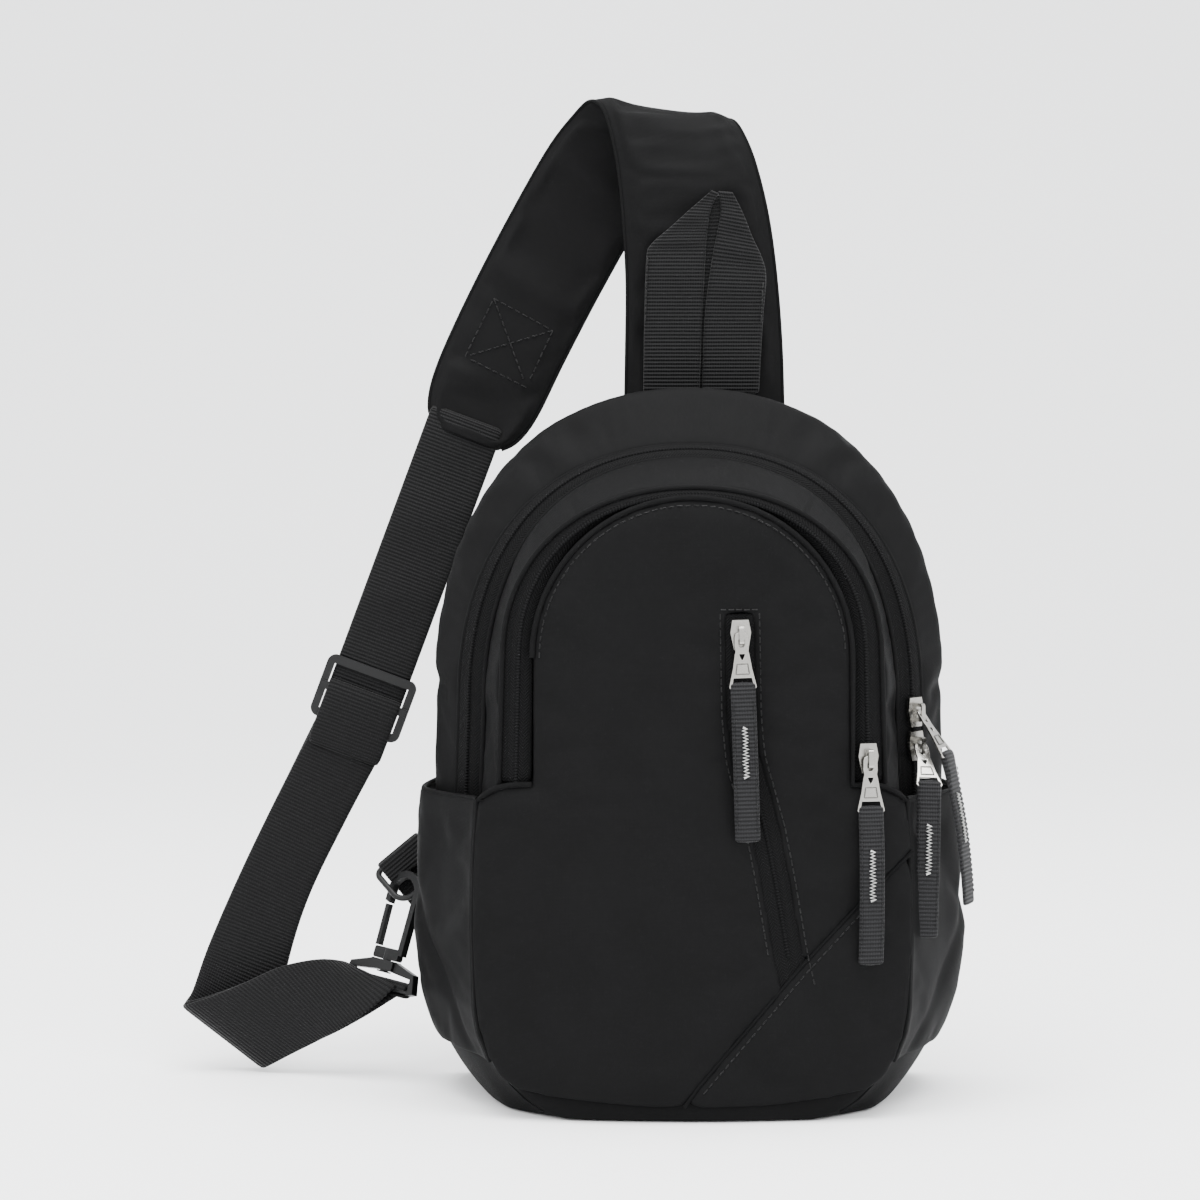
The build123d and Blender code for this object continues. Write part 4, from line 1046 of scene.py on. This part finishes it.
# ---------------------------------------------------------------- webbing
WEB = 34.2
STRAP_TOP = Vector((-98.5, 64.0, 290.0))
STRAP_BEND = Vector((-150.7, 59.2, 150.0))
UP = (STRAP_TOP - STRAP_BEND).normalized()
ACROSS = Vector((UP.z, 0, -UP.x)).normalized()
STRAP_OUT = ACROSS.cross(UP)
LAYER = 1.5
WEB_EDGES = [
    ((-165.9, 59.2, 156.4), (-135.6, 59.2, 143.5), 0.0),
    ((-181.4, 58.6, 127.0), (-151.6, 58.6, 113.4), LAYER),
    ((-199.0, 58.0, 91.0), (-169.3, 58.0, 77.0), LAYER),
    ((-214.0, 58.0, 57.0), (-179.5, 57.0, 44.0), LAYER),
    ((-221.4, 57.4, 36.5), (-185.0, 56.6, 11.5), LAYER),
    ((-224.2, 55.6, 31.6), (-188.0, 54.6, 5.0), LAYER),
    ((-224.8, 52.2, 30.4), (-188.6, 50.8, 2.6), LAYER),
    ((-222.0, 49.2, 31.6), (-185.4, 47.2, 3.8), LAYER),
    ((-212.0, 47.2, 35.0), (-175.5, 43.4, 9.4), LAYER),
    ((-198.0, 46.6, 40.6), (-164.0, 39.4, 15.6), LAYER),
    ((-180.5, 47.0, 48.0), (-153.0, 34.6, 22.0), LAYER),
    ((-163.0, 48.6, 50.5), (-139.5, 30.0, 31.0), 1.6),
    ((-152.5, 49.8, 47.4), (-127.5, 29.4, 40.4), 2.9),
]


def tape_rows(edges, side, steps=8, cells=8, wave=0.0):
    """Rows across a tape between its left and right edges, moved to one side of its middle."""
    lefts = [Vector(e[0]) for e in edges]
    rights = [Vector(e[1]) for e in edges]
    aparts = [e[2] for e in edges]
    rows = []
    total = (len(edges) - 1) * steps
    pairs = [(catmull(lefts, k / steps), catmull(rights, k / steps), catmull(aparts, k / steps))
             for k in range(total + 1)]
    for k, (left, right, apart) in enumerate(pairs):
        before, after = pairs[max(k - 1, 0)], pairs[min(k + 1, total)]
        along = (after[0] + after[1]) - (before[0] + before[1])
        normal = (right - left).cross(along).normalized()
        ripple = wave * math.sin(k * 0.55)
        rows.append([left + (right - left) * (c / cells) + normal * (side * apart + ripple
                     * math.sin(math.pi * c / cells)) for c in range(cells + 1)])
    return rows


def tape_piece(name, rows, body, slot, stands_for, mat=None, thick=1.4):
    piece = new_object(name, sheet_mesh(name, rows), mat or WEBBING, body, slot, *stands_for)
    soften(piece, 1, thick, 0.0)
    return piece


upper = []
for i in range(30):
    middle = STRAP_TOP + UP * 3 - UP * ((STRAP_TOP - STRAP_BEND).length + 5) * (i / 29)
    wave = 0.5 * math.sin(i * 0.9)
    upper.append([middle + ACROSS * WEB * (c / 8 - 0.5) + STRAP_OUT * wave * math.sin(math.pi * c / 8)
                  for c in range(9)])
tape_piece("strap_webbing_upper", upper, "bag", "webbing", [])

lower = tape_rows([(STRAP_BEND - ACROSS * WEB / 2 + UP * 3, STRAP_BEND + ACROSS * WEB / 2 + UP * 3, 0.0)]
                  + WEB_EDGES[1:], 1)
FOOT = Vector((-136.2, 38.4, 41.4))
HOOK_UP = Vector((0.262, 0.20, 0.945)).normalized()
BAR = Vector((0.756, -0.630, -0.177)).normalized()
BAR = (BAR - HOOK_UP * BAR.dot(HOOK_UP)).normalized()
HOOK_OUT = BAR.cross(HOOK_UP)


def round_bar(start, end, radius=2.9):
    """Rows that carry a tape round the hook's bar between two turns, in degrees."""
    rows = []
    for i in range(13):
        turn = math.radians(start + (end - start) * i / 12)
        rows.append([FOOT + BAR * WEB * (c / 8 - 0.5) + (HOOK_UP * math.cos(turn) + HOOK_OUT
                     * math.sin(turn)) * radius for c in range(9)])
    return rows


tape_piece("strap_webbing_lower", lower, "bag", "webbing", ["strap_webbing"])
tape_piece("strap_webbing_bar_loop", round_bar(-200, 100), "bag", "webbing", [])
tape_piece("strap_webbing_inner", tape_rows([(*WEB_EDGES[0][:2], LAYER + 0.4)] + WEB_EDGES[1:], -1), "bag",
           "webbing", ["strap_webbing_return"])

# the sewn end of the webbing, looped over the adjuster's middle bar
tail = []
for down, off in ((-4.6, 0.2), (-5.6, 1.0), (-5.4, 2.6), (-3.2, 3.5), (0.0, 3.6), (6.0, 3.6), (12.0, 3.3),
                  (18.0, 3.0), (25.0, 2.9)):
    centre = STRAP_BEND + UP * (16.0 - down) + STRAP_OUT * off
    tail.append([centre + ACROSS * WEB * (c / 8 - 0.5) for c in range(9)])
tape_piece("webbing_tail", tail, "adjuster", "webbing", ["webbing_end"], thick=1.2)

# ---------------------------------------------------------------- D-ring tab
RING_MID = Vector((-127.8, 56.3, 97.4))
RING_ALONG = Vector((0.77, 0.06, 0.635)).normalized()
TAB_BACK = Vector((0.65, -0.14, -0.745))
TAB_BACK = (TAB_BACK - RING_ALONG * TAB_BACK.dot(RING_ALONG)).normalized()
TAB_OUT = RING_ALONG.cross(TAB_BACK)
tab = [(9.0, -2.7), (5.0, -2.6), (2.0, -2.5)]
tab += [(-2.5 * math.sin(math.radians(t)), -2.5 * math.cos(math.radians(t))) for t in range(0, 181, 20)]
tab += [(4.0, 2.5), (12.0, 2.5), (20.0, 2.4), (28.0, 2.4), (36.0, 2.4)]
tape_piece("d_ring_tab_webbing", [[RING_MID + TAB_BACK * x + TAB_OUT * y + RING_ALONG * 23 * (c / 6 - 0.5)
           for c in range(7)] for x, y in tab], "bag", "webbing", ["d_ring_tab"], thick=1.3)

# ---------------------------------------------------------------- carry handle


def flat_edges(pairs, y):
    return [((ax, y, az), (bx, y, bz), 0.0) for (ax, az), (bx, bz) in pairs]


tape_piece("handle_left_leg", tape_rows(flat_edges([
    ((-19.7, 303), (5.4, 303)), ((-19.3, 335), (6.4, 335)), ((-18.4, 362), (7.8, 362)),
    ((-16.4, 368.5), (8.2, 369)), ((-8.0, 376), (8.8, 376)), ((1.5, 384.5), (10.2, 384)),
    ((10.4, 392.2), (13.4, 391))], 44.2), 0, wave=0.25), "bag", "webbing", ["grab_handle"], thick=1.8)
tape_piece("handle_right_leg", tape_rows(flat_edges([
    ((6.2, 303), (31.6, 303)), ((7.2, 335), (33.2, 335)), ((9.4, 355), (34.6, 354)),
    ((11.2, 366), (32.6, 363)), ((13.0, 375), (28.4, 372)), ((14.4, 384), (24.2, 382.5)),
    ((13.2, 392), (19.6, 391.4))], 44.6), 0, wave=0.25), "bag", "webbing", [], thick=1.8)
for which, line in (("left", [(-18.8, 335), (-17.6, 364)]), ("right", [(32.2, 335), (33.2, 355)])):
    stitches(f"handle_{which}_stitch", [Vector((x, 43.0, z)) for x, z in line], (0, -1, 0), "bag",
             slot="webbing")
rear = [[Vector((x0 + (x1 - x0) * c / 6, 46.2, z)) for c in range(7)] for x0, x1, z in
        ((-14, 30, 303), (-12, 31, 330), (-9, 31, 355), (-4, 28, 368), (2, 24, 380), (9, 20, 391))]
tape_piece("handle_rear_layer", rear, "bag", "webbing", [], thick=1.0)

# ---------------------------------------------------------------- zip pulls
hinges = {joint["name"]: joint for joint in frame["joints"]}
RIBBON_WIDE = 10.6
RIBBON_LONG = 66.0


def loop_points(half_widths):
    """Closed outline from (distance below the pin, half width) pairs."""
    return [(w, -d) for d, w in half_widths] + [(-w, -d) for d, w in half_widths[::-1]]


PULLER_SHAPE = [(-0.9, 1.3), (-0.5, 2.3), (1.0, 2.7), (4.6, 2.8), (6.6, 2.5), (8.4, 2.9), (14.0, 3.8),
                (20.4, 5.3), (21.6, 5.5), (22.2, 5.0)]
PULLER_HOLES = [[(1.2, 0.9), (2.0, 1.4), (4.2, 1.4), (5.2, 0.8)], [(7.6, 1.5), (9.2, 1.0), (10.6, 0.2)],
                [(17.6, 3.9), (18.2, 4.1), (20.0, 4.4), (20.4, 4.3)]]


def make_puller(name, bar, hinge):
    """Cast puller: a ring for the slider's bridge, a flared plate and a slot for the ribbon."""
    pin = Vector(hinges[f"{name}_puller_hinge"]["pos_m"]) / MM
    up = (pin - bar).normalized()
    out = hinge.cross(up)
    scale = ((pin - bar).length + 0.8) / 22.0
    data = bpy.data.curves.new(f"{name}_puller_casting", "CURVE")
    data.dimensions = "2D"
    data.fill_mode = "BOTH"
    data.extrude = 0.30 * MM
    data.bevel_depth = 0.22 * MM
    data.bevel_resolution = 2
    for shape in [PULLER_SHAPE] + PULLER_HOLES:
        points = loop_points(shape)
        spline = data.splines.new("POLY")
        spline.points.add(len(points) - 1)
        for place, (x, y) in zip(spline.points, points):
            place.co = (x * MM, y * scale * MM, 0, 1)
        spline.use_cyclic_u = True
    piece = bpy.data.objects.new(f"{name}_puller_casting", data)
    bpy.context.scene.collection.objects.link(piece)
    data.materials.append(METAL)
    turn = Matrix((hinge, up, out)).transposed().to_4x4()
    piece.matrix_world = Matrix.Translation(pin * MM) @ turn
    bpy.context.view_layer.update()
    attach(piece, f"{name}_puller")
    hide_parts(f"{name}_puller")
    raised = [pin - up * d * scale + hinge * w + out * 0.62 for d, w in
              ((12.0, -2.2), (12.0, 2.2), (16.2, 2.8), (16.2, -2.8))]
    path = []
    for a, b in zip(raised, raised[1:] + raised[:1]):
        path += [a + (b - a) * (k / 5) for k in range(5)]
    # the window's border is drawn in the darker metal, as painted shade of the recess
    tube(f"{name}_plate_border", path, 0.26, METAL_PAINTED_SHADE, f"{name}_puller", "zipper_metal", closed=True)


def make_ribbon(name, down, curl, sway):
    """Folded ribbon on a puller, with its bar tack in white thread."""
    joint = hinges[f"{name}_pull_hinge"]
    bar = Vector(joint["pos_m"]) / MM
    hinge = -Vector(joint["axis"]).normalized()
    up = -Vector(down)
    up = (up - hinge * up.dot(hinge)).normalized()
    out = hinge.cross(up)

    def spine(far):
        t = far / RIBBON_LONG
        return bar - up * far + out * curl * math.sin(math.pi * t) + hinge * sway * t * t

    def half_thick(far):
        return 1.75 if far < 2 else 1.75 - 0.85 * min(1, (far - 2) / 12)
    rows = []
    outline = [(-1, 0), (-0.98, 0.7), (-0.6, 1), (0, 1), (0.6, 1), (0.98, 0.7), (1, 0),
               (0.98, -0.7), (0.6, -1), (0, -1), (-0.6, -1), (-0.98, -0.7)]
    for i in range(34):
        far = -1.9 + (RIBBON_LONG + 1.0) * i / 33
        size = half_thick(far) * (0.45 if i == 0 else 1.0)
        rows.append([spine(far) + hinge * u * RIBBON_WIDE / 2 + out * v * size for u, v in outline])
    data = sheet_mesh(f"{name}_ribbon", rows, closed=True)
    piece = new_object(f"{name}_ribbon", data, RIBBON, f"{name}_pull", "pull_ribbon", f"{name}_pull")
    soften(piece, 1)
    tack = []
    for i in range(31):
        far = 17 + 21 * i / 30
        tack.append(spine(far) + hinge * (1.2 if i % 2 else -1.0) * rng.uniform(0.6, 1.15)
                    + out * (half_thick(far) + 0.35))
    tube(f"{name}_bar_tack", tack, 0.5, WHITE_THREAD, f"{name}_pull", "pull_ribbon")
    make_puller(name, bar, hinge)
    for edge in (-1, 1):
        stitches(f"{name}_ribbon_edge_" + ("left" if edge < 0 else "right"),
                 [spine(f) + hinge * edge * 4.3 + out * (half_thick(f) + 0.02) for f in range(6, 64, 4)],
                 out, f"{name}_pull", slot="pull_ribbon", length=1.5, pitch=2.2, radius=0.2)


make_ribbon("pocket", (0.05, -0.052, -1), 1.2, 0.0)
make_ribbon("front", (-0.02, -0.06, -1), 1.6, -1.2)
make_ribbon("main_upper", (0.13, -0.05, -1), 1.8, 0.8)
make_ribbon("main_lower", (0.0, -0.07, -1), 1.4, 1.0)

# ---------------------------------------------------------------- hard parts from the CAD
for name, piece in frame["nodes"].items():
    metal = name.endswith("_slider")
    hard = metal or name in ("adjuster", "d_ring", "hook_base", "hook_body", "hook_gate")
    if hard:
        piece.data.materials.clear()
        piece.data.materials.append(METAL if metal else PLASTIC)
        edges = piece.modifiers.new("edges", "BEVEL")
        edges.width = 0.00032 if metal else 0.0005
        edges.segments = 3
        edges.limit_method = "ANGLE"
        edges.angle_limit = math.radians(35)
